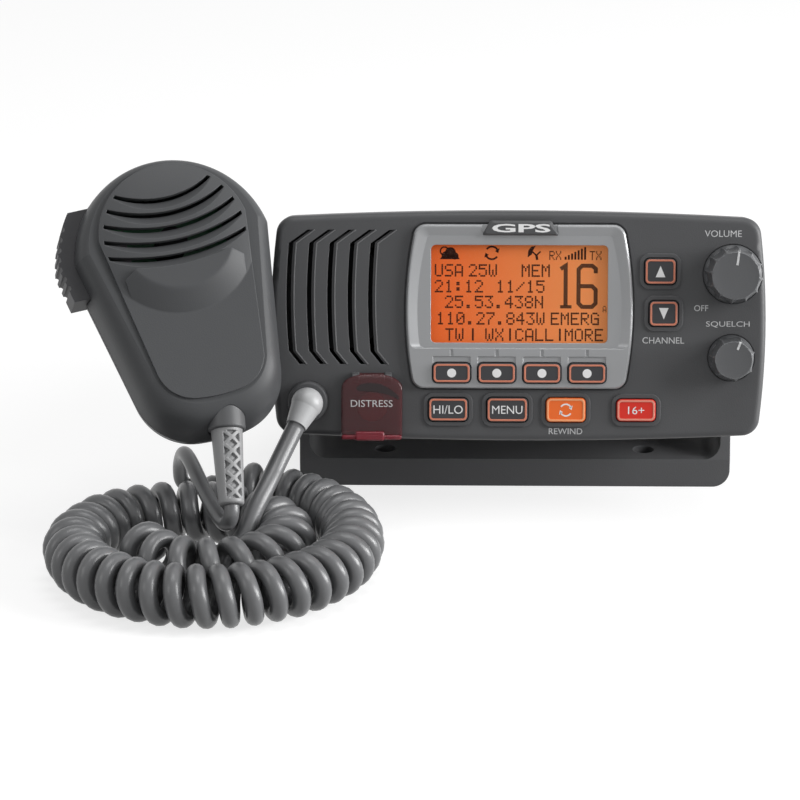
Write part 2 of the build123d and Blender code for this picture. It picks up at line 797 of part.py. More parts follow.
def heat_sink():
    """Die-cast rear cap: a plate with upright fins, left plain behind the two fittings."""
    body = plate(housing_outline(0), sink_face_y, sink_plate)
    half = housing_height / 2 - 1
    fin_side = make_face(
        Polyline(
            (sink_face_y - 1, -half),
            (sink_face_y + fin_length - fin_chamfer, -half),
            (sink_face_y + fin_length, -half + fin_chamfer),
            (sink_face_y + fin_length, half - 3),
            (sink_face_y + fin_length - 3, half),
            (sink_face_y - 1, half),
            close=True,
        )
    )
    reach = housing_width / 2 - 5
    count = int(2 * reach / fin_pitch) + 1
    start = -(count - 1) * fin_pitch / 2
    for i in range(count):
        x = start + i * fin_pitch
        if all(abs(x - fitting) > antenna_flange / 2 + fin_thickness for fitting in (antenna_x, gland_x)):
            body += along_x(fin_side, x - fin_thickness / 2, fin_thickness)
    return body


def antenna_socket():
    back = sink_face_y + antenna_length
    body = rod(antenna_x, fitting_z, antenna_radius, back, antenna_length)
    square = Pos(antenna_x, fitting_z) * rounded(antenna_flange, antenna_flange, 2)
    body += plate(square, sink_face_y + 2, 2)
    body -= rod(antenna_x, fitting_z, antenna_radius - 1.6, back + 1, 9)
    body += rod(antenna_x, fitting_z, 2.6, back - 1.5, 9)
    return body - rod(antenna_x, fitting_z, 1.3, back, 7)


def power_gland():
    back = sink_face_y + gland_length
    body = plate(Pos(gland_x, fitting_z) * RegularPolygon(gland_radius * 1.18, 6), sink_face_y + 6, 6)
    body += rod(gland_x, fitting_z, gland_radius, back, gland_length)
    return body - rod(gland_x, fitting_z, gland_bore, back + 1, gland_length - 1)


def turned_x(side, radius, start, length):
    """A disc on the gimbal axis, from distance start outwards on one side."""
    return Pos(side * (start + length / 2), 0, 0) * Rot(0, 90, 0) * Cylinder(radius, length)


def pivot_insert(side):
    body = turned_x(side, insert_radius, housing_width / 2 - stud_reach, stud_reach)
    return body - turned_x(side, stud_radius + running_gap, housing_width / 2 - stud_reach + 1, stud_reach)


def gimbal_pad(side):
    body = turned_x(side, pad_radius, housing_width / 2, pad_thickness)
    return body - turned_x(side, arm_hole_radius, housing_width / 2 - 1, 5)


def gimbal_stud(side):
    start = housing_width / 2 - stud_reach + 1.5
    return turned_x(side, stud_radius, start, bracket_width / 2 + gimbal_knob_height - 4 - start)


def gimbal_knob(side):
    grip = fluted(gimbal_knob_radius, gimbal_knob_height, gimbal_knob_flutes, 1.6)
    grip -= Cylinder(stud_radius, gimbal_knob_height - 4 - slip_gap, align=MIN_Z)
    grip -= Pos(0, 0, gimbal_knob_height) * Cylinder(gimbal_knob_radius - 5, 1.6)
    return Pos(side * (bracket_width / 2 + slip_gap), 0, 0) * Rot(0, side * 90, 0) * grip


# ---- cord boot on the panel ----
def cord_ring():
    ring = Circle(ring_radius) - Circle(boot_radius)
    body = plate(Pos(exit_x, exit_z) * ring, wall_back_y, panel_front_wall + 3)
    return fillet(body.faces().sort_by(Axis.Y)[0].edges().sort_by(SortBy.RADIUS)[-1], 1.0)


# ---- fist microphone ----
def handset_outline(
    inset,
    top_half=handset_top_half,
    bottom_half=handset_bottom_half,
    low=0.0,
    high=handset_height,
    corner=handset_bottom_corner,
):
    """A shield shape: broad round top, straight sides that draw in, and a rounded foot."""
    low, high = low + inset, high - inset
    top, bottom = top_half - inset, bottom_half - inset
    shoulder = high - top * 0.86
    border = (
        Line((-bottom, low + 3), (-top, shoulder))
        + ThreePointArc((-top, shoulder), (0, high), (top, shoulder))
        + Line((top, shoulder), (bottom, low + 3))
        + ThreePointArc((bottom, low + 3), (0, low), (-bottom, low + 3))
    )
    outline = make_face(border)
    feet = outline.vertices().group_by(Axis.Y)[0]
    return fillet(feet, max(corner - inset, 2))


def ptt_window():
    """The opening in the left wall that the push-to-talk bar works in."""
    opening = Rectangle(2 * ptt_opening, ptt_high - ptt_low + 2 * slip_gap)
    opening = Pos(-handset_top_half, ptt_middle) * opening
    return plate(opening, ptt_depth / 2 + slip_gap, ptt_depth + 2 * slip_gap)


def collar_seat():
    """The room that the collar takes out of the shells, and the cord's way in above it."""
    below = collar_outside + handset_wall
    seat = Pos(0, 0, -below) * Cylinder(collar_radius, below + collar_inside + 4, align=MIN_Z)
    return Pos(-handset_shift, -handset_set_back, handset_sink) * Rot(0, cord_swing, 0) * seat


def drafted(depth, inset):
    """Half of the microphone's body: its walls draw in with depth. Depth is negative for the front."""
    share = abs(depth) / handset_front_depth
    rise = share if depth < 0 else 0
    planes = []
    for along, drawn, risen in draft_sections:
        y = depth * along or (0 if depth < 0 else handset_gasket_thickness)
        low, high = foot_rise * rise * risen, handset_height + crown_rise * rise * risen
        less = handset_draft * share * drawn
        planes.append(front_plane(y) * handset_outline(inset + less, low=low, high=high))
    return loft(planes if depth < 0 else planes[::-1])


def face_plate(back_y, thickness):
    high = handset_height - face_margin
    outline = handset_outline(0, face_top_half, face_bottom_half, face_low, high, face_corner)
    return plate(outline, back_y, thickness)


def dome(radius, top_y, base_y, back_y):
    """A low round swelling towards the user, over the microphone."""
    profile = (
        Line((0, back_y), (0, top_y))
        + Line((0, top_y), (dome_flat, top_y))
        + TangentArc((dome_flat, top_y), (radius, base_y), tangent=(1, 0))
        + Line((radius, base_y), (radius, back_y))
        + Line((radius, back_y), (0, back_y))
    )
    return Pos(0, 0, dome_z) * revolve(Plane.XY * make_face(profile), axis=Axis.Y)


def louvre(index):
    """A smile-shaped slot right through the wall, with a slope that rises to the surface below it."""
    radius = louvre_radius - index * louvre_radius_step
    centre = dome_z + louvre_first + index * louvre_pitch + radius
    surface = handset_face_y - dome_height
    near, far = radius - louvre_slot / 2, radius + louvre_slot / 2
    profile = make_face(
        Polyline(
            (near, surface - 3),
            (far + louvre_slope, surface - 3),
            (far + louvre_slope, surface),
            (far, surface + louvre_slope_depth),
            (far, 0),
            (near, 0),
            close=True,
        )
    )
    return Pos(0, 0, centre) * revolve(Plane.XY * profile, axis=Axis.Y)


def handset_front():
    """Front shell: drafted walls, a raised face, and a dome with louvres over the microphone."""
    inner_y = handset_wall - handset_front_depth
    dome_y = handset_face_y - dome_height
    body = drafted(-handset_front_depth, 0)
    body -= drafted(inner_y, handset_wall)
    body += face_plate(handset_wall / 2 - handset_front_depth, face_step + handset_wall / 2)
    body += dome(dome_radius, dome_y, handset_face_y, handset_face_y + face_step) & face_plate(
        handset_face_y + face_step, face_step + dome_height + 1
    )
    body -= dome(dome_radius - 2 * handset_wall, dome_y + handset_wall, inner_y, inner_y + 1)
    field = rod(0, dome_z, louvre_field, inner_y + 1, dome_height + face_step + handset_wall + 3)
    for i in range(louvre_count):
        body -= louvre(i) & field
    for x, z in handset_screw_posts:
        post = rod(x, z, 2.8, 0, -inner_y + 0.5)
        body += post - rod(x, z, screw_radius, 1, 9)
    return body - ptt_window() - collar_seat()


def handset_back():
    """Back shell with its screw posts, the board's feet and the hole for the hanger stud."""
    body = drafted(handset_back_depth, 0)
    hollow = drafted(handset_back_depth - handset_wall, handset_wall)
    body -= hollow
    for x, z in handset_screw_posts:
        length = handset_back_depth - handset_gasket_thickness
        body += rod(x, z, 3.4, handset_back_depth, length)
        body -= rod(x, z, screw_radius + 0.2, handset_back_depth + 1, length + 2)
        body -= rod(x, z, screw_head_radius + 0.2, handset_back_depth + 1, 4)
    foot_y = handset_board_y + board_thickness
    for z in (handset_board_low + 4, handset_board_high - 4):
        body += rod(0, z, 2.5, handset_back_depth - 1, handset_back_depth - 1 - foot_y)
    body -= rod(0, hanger_z, hanger_neck / 2, handset_back_depth + 1, 2 * handset_wall)
    return body - ptt_window() - collar_seat()


def handset_gasket():
    ring = handset_outline(0.5) - handset_outline(handset_wall)
    body = plate(ring, handset_gasket_thickness, handset_gasket_thickness)
    return body - ptt_window() - collar_seat()


def ptt_button():
    """Push-to-talk bar: it follows the side of the body and carries grip ribs."""
    outline = handset_outline(-ptt_proud)
    keep = Pos(ptt_inner_x - 20, ptt_middle) * Rectangle(40, ptt_high - ptt_low)
    body = plate(outline & keep, ptt_depth / 2, ptt_depth)
    body = fillet(body.edges().filter_by(Axis.Y).group_by(Axis.X)[0], 2.0)
    pitch = (ptt_high - ptt_low) / (ptt_ribs + 2)
    for i in range(ptt_ribs):
        z = ptt_low + (i + 1.5) * pitch
        across = outline & Pos(ptt_inner_x - 20, z) * Rectangle(40, 0.1)
        side_x = across.bounding_box().min.X
        body -= Pos(side_x, 0, z) * Rot(90, 0, 0) * Cylinder(1.0, ptt_depth + 2)
    return body


def ptt_switch():
    x = ptt_inner_x + ptt_travel + seat_gap
    return Pos(x, handset_board_y, ptt_middle) * Box(7, 6, 12, align=(Align.MIN, Align.MAX, Align.CENTER))


def microphone_element():
    length = handset_front_depth + handset_board_y - handset_wall - 3
    return rod(0, dome_z, microphone_radius, handset_board_y, length)


def handset_board():
    middle = (handset_board_low + handset_board_high) / 2
    shape = Pos(0, middle) * Rectangle(handset_board_width, handset_board_high - handset_board_low)
    return plate(shape, handset_board_y + board_thickness, board_thickness)


def hanger_stud():
    seat, neck = handset_back_depth, hanger_length - hanger_head
    body = rod(0, hanger_z, hanger_neck, seat + neck, neck)
    body += rod(0, hanger_z, hanger_radius, seat + hanger_length, hanger_head)
    return body + rod(0, hanger_z, hanger_neck / 2, seat, handset_wall)


def handset_screws():
    screws = []
    for x, z in handset_screw_posts:
        seat = handset_back_depth - 3
        shank = rod(x, z, screw_radius, seat, seat + 6)
        screws.append(shank + rod(x, z, screw_head_radius, seat + 1.8, 1.8))
    return screws


def relief_collar():
    body = Pos(0, 0, -collar_outside) * Cylinder(collar_radius, collar_outside + collar_inside, align=MIN_Z)
    return fillet(body.edges().group_by(Axis.Z)[0], 0.8)


def cord_relief():
    """Tapered sleeve below the collar, with a row of diamond windows down to the cord inside it."""
    body = Pos(0, 0, -collar_outside - relief_length / 2) * Cone(
        relief_end_radius, relief_top_radius, relief_length
    )
    pitch = relief_length / (relief_windows + 1.2)
    top = -collar_outside - 1.1 * pitch
    core = Pos(0, 0, -collar_outside - relief_length) * Cylinder(
        handset_lead_radius, relief_length, align=MIN_Z
    )
    for i in range(relief_windows):
        z = top - i * pitch
        half_width, half_height = 2.6, pitch * 0.4
        diamond = make_face(
            Polyline((0, half_height), (half_width, 0), (0, -half_height), (-half_width, 0), close=True)
        )
        body -= plate(Pos(0, z) * diamond, 20, 40)
    return body + core


# ---- cord ----
def coil_radius(angle):
    """Distance from the coil's centre: an inner turn, a step outwards and an outer turn."""
    t = min(max((angle - coil_step_out) / (coil_stepped - coil_step_out), 0), 1)
    share = t * t * (3 - 2 * t)
    inner_slope = (coil_inner_radius - coil_start_radius) / (coil_step_out - coil_start_angle)
    outer_slope = (coil_end_radius - coil_outer_radius) / (coil_end_angle - coil_stepped)
    inner = coil_start_radius + inner_slope * (angle - coil_start_angle)
    outer = coil_outer_radius + outer_slope * (angle - coil_stepped)
    return inner * (1 - share) + outer * share


def coil_point(angle):
    r = coil_radius(angle)
    return (coil_x + r * cos(radians(angle)), coil_y + r * sin(radians(angle)), curl_z)


coil_angles = [
    coil_start_angle + i * (coil_end_angle - coil_start_angle) / coil_runs for i in range(coil_runs + 1)
]
coil_points = [coil_point(a) for a in coil_angles]


def in_line(before, end, distance):
    """The point a distance past end, in line with the run that arrives there."""
    run = Vector(end) - Vector(before)
    return tuple(Vector(end) + run.normalized() * distance)


# the boot's bend on the panel, and the lead from there down into the middle of the coil
boot_start, boot_bend = local_points(radio_place, [(exit_x, wall_back_y, exit_z), boot_corner])
lead_top = (-78.8, -85.4, 31.8)
boot_end = in_line(lead_top, boot_bend, -boot_taper)
panel_lead_points = [
    boot_end,
    lead_top,
    (-82.6, -94.8, 26.0),
    (-86.8, -101.8, 19.6),
    (-90.2, -106.6, 11.8),
    (-95.8, -108.6, 8.0),
    (-103.4, -104.6, 6.8),
    (-110.6, -99.6, 7.4),
    (-117.0, -96.4, 9.0),
    (-121.6, -97.6, 10.2),
    in_line(coil_points[1], coil_points[0], 5.5),
    coil_points[0],
]

# the lead from the outer end of the coil, over its inner turn and up to the microphone
relief_end = (0, 0, -collar_outside - relief_length)
relief_ahead = (0, 0, relief_end[2] - 2.6)
handset_lead_points = local_points(relief_place, [relief_end, relief_ahead]) + [
    (-93.9, -109.8, 19.6),
    (-95.9, -106.9, 17.9),
    (-100.5, -98.0, 21.5),
    (-104.5, -88.4, 25.4),
    (-108.3, -78.4, 29.0),
    (-111.0, -70.0, 29.2),
    (-112.6, -62.8, 24.6),
    (-113.6, -58.0, 18.6),
    (-113.4, -55.0, 12.8),
    in_line(coil_points[-2], coil_points[-1], 6.0),
    coil_points[-1],
]


def cord_boot():
    """A sleeve out of the ring, a ball at its bend, and a taper down to the cord."""
    start, bend, end = Vector(boot_start), Vector(boot_bend), Vector(boot_end)
    reach = (bend - start).length
    sleeve = Plane(origin=start, z_dir=bend - start) * Cylinder(boot_radius, reach, align=MIN_Z)
    taper = Plane(origin=bend, z_dir=end - bend) * Cone(
        boot_top_radius, boot_end_radius, boot_taper, align=MIN_Z
    )
    return sleeve + Pos(*bend) * Sphere(boot_ball) + taper


# ---- assembly ----
radio_pieces = [
    front_panel,
    display_bezel,
    display_window,
    lcd_module,
    display_badge,
    distress_button,
    distress_cover,
    cover_pin,
    front_board,
    key_switches,
    speaker,
    rear_housing,
    main_board,
    power_amplifier,
    gps_antenna,
    housing_gasket,
    housing_screws,
    heat_sink,
    antenna_socket,
    power_gland,
    cord_ring,
]
handset_body_pieces = [
    handset_front,
    handset_back,
    handset_gasket,
    ptt_button,
    ptt_switch,
    microphone_element,
    handset_board,
    hanger_stud,
    handset_screws,
]


def placed(place, shape):
    """One solid, or a group of separate solids, set in the shared frame."""
    if isinstance(shape, list):
        return Compound(children=[place * s for s in shape])
    return place * shape


nodes["mounting_bracket"] = mounting_bracket()
for piece in radio_pieces:
    nodes[piece.__name__] = placed(radio_place, piece())
for name, sizes in panel_keys.items():
    nodes[name] = radio_place * key(*sizes, face_y)
for name, sizes in soft_keys.items():
    nodes[name] = radio_place * key(*sizes, bezel_y)
for name, (x, z, radius, height) in panel_knobs.items():
    nodes[f"{name}_control"] = radio_place * control_body(x, z)
    nodes[f"{name}_shaft"] = radio_place * control_shaft(x, z, height)
    nodes[f"{name}_knob"] = radio_place * knob(x, z, radius, height, knob_flutes[name])
nodes["knob_seals"] = placed(radio_place, [knob_seal(x, z) for x, z, _, _ in panel_knobs.values()])
nodes["pivot_inserts"] = placed(radio_place, [pivot_insert(-1), pivot_insert(1)])
nodes["gimbal_pads"] = placed(radio_place, [gimbal_pad(-1), gimbal_pad(1)])
for side, word in ((-1, "left"), (1, "right")):
    nodes[f"gimbal_knob_{word}"] = radio_place * gimbal_knob(side)
    nodes[f"gimbal_stud_{word}"] = radio_place * gimbal_stud(side)
for piece in handset_body_pieces:
    nodes[piece.__name__] = placed(handset_body_place, piece())
for piece in (relief_collar, cord_relief):
    nodes[piece.__name__] = relief_place * piece()

nodes["cord_boot"] = cord_boot()
nodes["panel_lead"] = tube("panel_lead", panel_lead_points, cord_radius)
nodes["curly_cord"] = tube("curly_cord", coil_points, curl_radius)
nodes["handset_lead"] = tube("handset_lead", handset_lead_points, handset_lead_radius)

for name, shape in nodes.items():
    export_step(shape, f"parts/{name}.step")
print(len(nodes), "nodes")
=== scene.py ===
import math

import bpy
import numpy as np
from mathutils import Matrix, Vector


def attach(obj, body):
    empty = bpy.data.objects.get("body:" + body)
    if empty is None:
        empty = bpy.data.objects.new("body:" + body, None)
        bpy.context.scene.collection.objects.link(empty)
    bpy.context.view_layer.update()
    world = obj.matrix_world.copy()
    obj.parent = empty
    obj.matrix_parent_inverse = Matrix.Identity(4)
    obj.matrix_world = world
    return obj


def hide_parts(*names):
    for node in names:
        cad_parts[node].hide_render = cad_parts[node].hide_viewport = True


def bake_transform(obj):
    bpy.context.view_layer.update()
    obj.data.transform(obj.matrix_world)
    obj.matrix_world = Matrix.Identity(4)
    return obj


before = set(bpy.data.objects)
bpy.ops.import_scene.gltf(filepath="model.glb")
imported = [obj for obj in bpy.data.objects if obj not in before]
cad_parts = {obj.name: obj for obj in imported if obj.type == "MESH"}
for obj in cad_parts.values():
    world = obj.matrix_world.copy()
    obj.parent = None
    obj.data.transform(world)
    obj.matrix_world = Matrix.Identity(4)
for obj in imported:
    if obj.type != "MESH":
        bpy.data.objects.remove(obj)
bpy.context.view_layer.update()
print("frame loaded:", len(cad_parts), "nodes")

# the radio's own axes: its origin is the gimbal axis, and it leans back
# and its panel's face stands in front of that, in millimetres
radioPlace = {"pivotHeight": 0.054, "tilt": 15.0, "face": -57.0}
handsetPlace = {
    "at": (-0.0956, -0.0916, 0.0508), "lean": 34.8, "yaw": 10.9, "roll": 16.8, "cordSwing": 12.0,
    "foot": (-1.7, 7.5, -6.2),  # the body's foot from the cord's exit, in millimetres
}


def rotation(axis, degrees):
    # a turn about one axis: the cosine on the other two axes, the sine and its opposite across them
    first, second = {"X": (1, 2), "Y": (2, 0), "Z": (0, 1)}[axis]
    a = math.radians(degrees)
    matrix = np.eye(3)
    matrix[first, first] = matrix[second, second] = math.cos(a)
    matrix[second, first], matrix[first, second] = math.sin(a), -math.sin(a)
    return matrix


radioTurn = rotation("X", -radioPlace["tilt"])
handsetTurn = rotation("X", -handsetPlace["lean"]) @ rotation("Z", handsetPlace["yaw"])
handsetTurn = handsetTurn @ rotation("Y", -handsetPlace["roll"])
reliefTurn = handsetTurn @ rotation("Y", handsetPlace["cordSwing"])


def onRadio(points):
    # points in millimetres from the gimbal axis, turned with the radio and set in the frame
    return np.asarray(points, float) / 1000 @ radioTurn.T + (0, 0, radioPlace["pivotHeight"])


def onHandset(points):
    # points in millimetres from the foot of the microphone's body
    moved = np.asarray(points, float) + handsetPlace["foot"]
    return moved / 1000 @ handsetTurn.T + handsetPlace["at"]


def onRelief(points):
    # points in millimetres from the microphone's cord exit, along its swung relief sleeve
    return np.asarray(points, float) / 1000 @ reliefTurn.T + handsetPlace["at"]


# helpers for meshes
def inScene(name, data):
    piece = bpy.data.objects.new(name, data)
    bpy.context.scene.collection.objects.link(piece)
    return piece


def meshObject(name, points, faces, smooth=True):
    # an object at the origin whose mesh holds its place
    mesh = bpy.data.meshes.new(name)
    mesh.from_pydata(np.asarray(points, float).reshape(-1, 3).tolist(), [], faces)
    mesh.update()
    mesh.polygons.foreach_set("use_smooth", [smooth] * len(mesh.polygons))
    return inScene(name, mesh)


def ringFaces(rings, around):
    # quads between each closed ring of points and the next one
    a, b = np.meshgrid(np.arange(rings - 1), np.arange(around), indexing="ij")
    here, above, after = a * around, (a + 1) * around, (b + 1) % around
    return np.stack([here + b, here + after, above + after, above + b], -1).reshape(-1, 4).tolist()


def evaluated(data):
    # the points and faces that a curve or a text comes out as; the curve itself is taken away
    piece = inScene("bare", data)
    mesh = bpy.data.meshes.new_from_object(piece.evaluated_get(bpy.context.evaluated_depsgraph_get()))
    co = np.zeros(len(mesh.vertices) * 3)
    mesh.vertices.foreach_get("co", co)
    faces = [list(face.vertices) for face in mesh.polygons]
    bpy.data.objects.remove(piece)
    bpy.data.curves.remove(data)
    bpy.data.meshes.remove(mesh)
    return co.reshape(-1, 3), faces


def routeLine(route):
    # the line of a NURBS spline whose control points are the route's own points
    curve = bpy.data.curves.new("route", "CURVE")
    curve.dimensions = "3D"
    spline = curve.splines.new("NURBS")
    spline.points.add(len(route) - 1)
    spline.points.foreach_set("co", np.insert(route, 3, 1, axis=1).ravel())
    spline.order_u = 3
    spline.use_endpoint_u = True
    spline.resolution_u = 16
    return evaluated(curve)[0]


def pointsAt(line, along, at):
    # the line's points at other lengths along it than those of its own points
    return np.stack([np.interp(at, along, line[:, i]) for i in range(3)], 1)


def evenly(line, count):
    # the same line cut into equal lengths, and how long it is
    steps = np.linalg.norm(np.diff(line, axis=0), axis=1)
    along = np.concatenate([[0], np.cumsum(steps)])
    return pointsAt(line, along, np.linspace(0, along[-1], count)), along[-1]


def unit(v):
    return v / np.maximum(np.linalg.norm(v, axis=-1, keepdims=True), 1e-12)


def smoothStep(share):
    # from nought to one, level at both ends: 3 t^2 - 2 t^3
    t = np.clip(share, 0, 1)
    return t * t * (3 - 2 * t)


def carried(line):
    # two directions square to the line that turn with it as little as they can, from point to point
    tangent = unit(np.gradient(line, axis=0))
    side = np.zeros_like(line)
    side[0] = unit(np.cross(tangent[0], (0, 0, 1.0)))
    for i in range(1, len(line)):
        side[i] = unit(side[i - 1] - tangent[i] * np.dot(side[i - 1], tangent[i]))
    return side, np.cross(tangent, side)


def tubeMesh(name, line, radius, around):
    # a round section carried along a line, with a face on each end
    side, other = carried(line)
    angle = np.arange(around) * 2 * math.pi / around
    ring = np.cos(angle)[None, :, None] * side[:, None] + np.sin(angle)[None, :, None] * other[:, None]
    points = (line[:, None] + ring * radius).reshape(-1, 3)
    faces = ringFaces(len(line), around)
    faces += [list(range(around)), list(range(len(points) - 1, len(points) - 1 - around, -1))]
    return meshObject(name, points, faces)


def loopsMesh(name, loops, place, smooth=True):
    # closed loops with the same number of points, each joined to the next, and a face on each end;
    # the faces are turned round if the volume under them comes out negative
    loops = np.asarray(loops, float)
    count, around = loops.shape[:2]
    points = loops.reshape(-1, 3)
    faces = ringFaces(count, around)
    last = (count - 1) * around
    faces += [list(range(around))[::-1], list(range(last, last + around))]
    quads = points[np.array(faces[:-2])]
    volume = np.einsum("ij,ij->i", quads[:, 0], np.cross(quads[:, 1], quads[:, 2]))
    volume += np.einsum("ij,ij->i", quads[:, 0], np.cross(quads[:, 2], quads[:, 3]))
    for ring, sign in ((loops[0], -1), (loops[-1], 1)):
        turned = np.cross(ring[1:-1], ring[2:])
        volume = np.append(volume, sign * np.sum(turned @ ring[0]))
    if volume.sum() < 0:
        faces = [face[::-1] for face in faces]
    return meshObject(name, place(points), faces, smooth)


def dress(piece, look, body, node=None, sharp=None):
    # gives a piece its finish and its body, and hides the node that it stands for, if any; edges
    # between faces that meet at more than the sharp turn, in degrees, are kept sharp
    piece.data.materials.append(materials[look])
    if sharp:
        piece.data.set_sharp_from_angle(angle=math.radians(sharp))
    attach(piece, body)
    if node:
        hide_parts(node)


# helpers for shader nodes
def addNode(tree, kind, inputs=None, **settings):
    # a node with its settings made; each of its inputs gets a value or another node's output
    node = tree.nodes.new("ShaderNode" + kind)
    for name, value in settings.items():
        setattr(node, name, value)
    for socket, value in (inputs or {}).items():
        if isinstance(value, bpy.types.NodeSocket):
            tree.links.new(value, node.inputs[socket])
        else:
            node.inputs[socket].default_value = value
    return node


def nodeMath(tree, operation, *values):
    return addNode(tree, "Math", dict(enumerate(values)), operation=operation).outputs[0]


# camera, floor and light
camera = {"location": (-0.0240, -1.1886, 0.4462), "down": 19.6, "yaw": 0.776, "lens": 161.4}
lights = {
    # name: (place, aim, width, height, power in watts)
    "key": ((1.15, -0.50, 0.62), (-0.03, -0.04, 0.05), 0.45, 0.75, 12.3),
    "side": ((1.10, -0.10, 0.24), (-0.03, -0.05, 0.05), 0.45, 0.36, 10.0),
    "fill": ((-0.95, -0.75, 0.70), (-0.05, -0.05, 0.05), 0.5, 0.5, 1.8),
    "top": ((0.05, -0.15, 1.2), (0.0, -0.04, 0.05), 0.7, 0.5, 3.8),
}
worldLight = {"around": 0.32, "seen": 1.0}
floorLook = {"own": 0.75, "lit": 0.35, "size": 3.0}
white = (1, 1, 1, 1)


def makeCamera():
    data = bpy.data.cameras.new("camera")
    data.lens, data.sensor_width = camera["lens"], 36.0
    data.clip_start, data.clip_end = 0.05, 20
    eye = bpy.context.scene.camera = inScene("camera", data)
    eye.location = camera["location"]
    eye.rotation_euler = (math.radians(90 - camera["down"]), 0, math.radians(camera["yaw"]))


def makeLights():
    for name, (place, aim, width, height, power) in lights.items():
        data = bpy.data.lights.new(name, "AREA")
        data.shape, data.size, data.size_y, data.energy = "RECTANGLE", width, height, power
        lamp = inScene(name, data)
        lamp.location = place
        lamp.rotation_euler = (Vector(aim) - Vector(place)).to_track_quat("-Z", "Y").to_euler()


def emptyTree(owner):
    owner.use_nodes = True
    owner.node_tree.nodes.clear()
    return owner.node_tree


def seenStraight(tree):
    # one where a ray comes from the camera, a mirror or a clear piece, and nought where it is light
    path = addNode(tree, "LightPath").outputs
    seen = nodeMath(tree, "MAXIMUM", path["Is Camera Ray"], path["Is Glossy Ray"])
    return nodeMath(tree, "MAXIMUM", seen, path["Is Transmission Ray"])


def makeWorld():
    # a plain sky: one strength lights the object, the other is what is seen behind it
    world = bpy.data.worlds.new("studio")
    tree = emptyTree(world)
    around, seen = (addNode(tree, "Background", {"Color": white, "Strength": worldLight[which]})
                    for which in ("around", "seen"))
    mix = addNode(tree, "MixShader", {0: seenStraight(tree), 1: around.outputs[0], 2: seen.outputs[0]})
    addNode(tree, "OutputWorld", {"Surface": mix.outputs[0]})
    bpy.context.scene.world = world


def makeFloor():
    # a matt floor that adds a white of its own where it is seen, so that its shadow stays
    half = floorLook["size"]
    corners = [(-half, -half, 0), (half, -half, 0), (half, half, 0), (-half, half, 0)]
    floor = meshObject("floor", corners, [(0, 1, 2, 3)], smooth=False)
    look = bpy.data.materials.new("floor")
    tree = emptyTree(look)
    strength = nodeMath(tree, "MULTIPLY", seenStraight(tree), floorLook["own"])
    glow = addNode(tree, "Emission", {"Color": white, "Strength": strength})
    matt = addNode(tree, "BsdfDiffuse", {"Color": (floorLook["lit"],) * 3 + (1,)})
    both = addNode(tree, "AddShader", {0: glow.outputs[0], 1: matt.outputs[0]})
    addNode(tree, "OutputMaterial", {"Surface": both.outputs[0]})
    floor.data.materials.append(look)


bpy.context.scene.view_settings.view_transform = "Standard"
makeCamera()
makeLights()
makeWorld()
makeFloor()
print("camera, lights and floor made")

# the shader group that the finishes share
def makeGroup(name, inputs, outputs):
    # a node group with its sockets: an input's kind follows from the value it starts with
    group = bpy.data.node_groups.new(name, "ShaderNodeTree")
    for label, value in inputs.items():
        kind = "NodeSocketColor" if isinstance(value, tuple) else "NodeSocketFloat"
        group.interface.new_socket(label, in_out="INPUT", socket_type=kind).default_value = value
    for label, kind in outputs.items():
        group.interface.new_socket(label, in_out="OUTPUT", socket_type="NodeSocket" + kind)
    return group, group.nodes.new("NodeGroupInput").outputs, group.nodes.new("NodeGroupOutput").inputs


# the mask of an edge rises from nought to one while the two normals' dot product falls
grainEdge = {"From Min": 0.995, "From Max": 0.86, "To Min": 0.0, "To Max": 1.0}


def makeGrain():
    # fine moulded grain: a bump from small noise, and a mask of slow patches that shifts the colour;
    # an edge is where the rounded normal leaves the true one, and there the colour is made paler: partly wear,
    # partly a painted highlight
    group, given, out = makeGroup("mouldedGrain", {
        "Grain Size": 2500.0, "Grain Depth": 0.00004, "Patch Size": 30.0, "Color": (0.1, 0.1, 0.1, 1),
        "Patch Change": 0.12, "Roughness": 0.5, "Edge Radius": 0.0004, "Edge Wear And Highlight": 0.5,
    }, {"Color": "Color", "Roughness": "Float", "Normal": "Vector"})
    where = addNode(group, "TexCoord").outputs["Object"]
    rounded = addNode(group, "Bevel", {"Radius": given["Edge Radius"]}, samples=4).outputs["Normal"]
    grain = addNode(group, "TexNoise", {"Vector": where, "Scale": given["Grain Size"], "Detail": 3})
    bump = addNode(group, "Bump", {"Normal": rounded, "Height": grain.outputs["Fac"],
                                   "Distance": given["Grain Depth"]})
    true = addNode(group, "NewGeometry").outputs["Normal"]
    agree = addNode(group, "VectorMath", {0: rounded, 1: true}, operation="DOT_PRODUCT").outputs["Value"]
    edge = addNode(group, "MapRange", {"Value": agree, **grainEdge}).outputs["Result"]
    patch = addNode(group, "TexNoise", {"Vector": where, "Scale": given["Patch Size"], "Detail": 4})
    patch = patch.outputs["Fac"]
    # shift = 1 + (patch - 0.5) x change; colour x (shift + edge x patch x edge wear and painted highlight);
    # roughness x shift
    centred, edgeWearAndHighlight = nodeMath(group, "SUBTRACT", patch, 0.5), nodeMath(group, "MULTIPLY", edge, patch)
    shift = nodeMath(group, "MULTIPLY_ADD", centred, given["Patch Change"], 1.0)
    paler = nodeMath(group, "MULTIPLY_ADD", edgeWearAndHighlight, given["Edge Wear And Highlight"], shift)
    tint = addNode(group, "VectorMath", {0: given["Color"], "Scale": paler}, operation="SCALE").outputs[0]
    rough = nodeMath(group, "MULTIPLY", given["Roughness"], shift)
    for socket, value in (("Color", tint), ("Roughness", rough), ("Normal", bump.outputs["Normal"])):
        group.links.new(value, out[socket])
    return group


grainGroup = makeGrain()
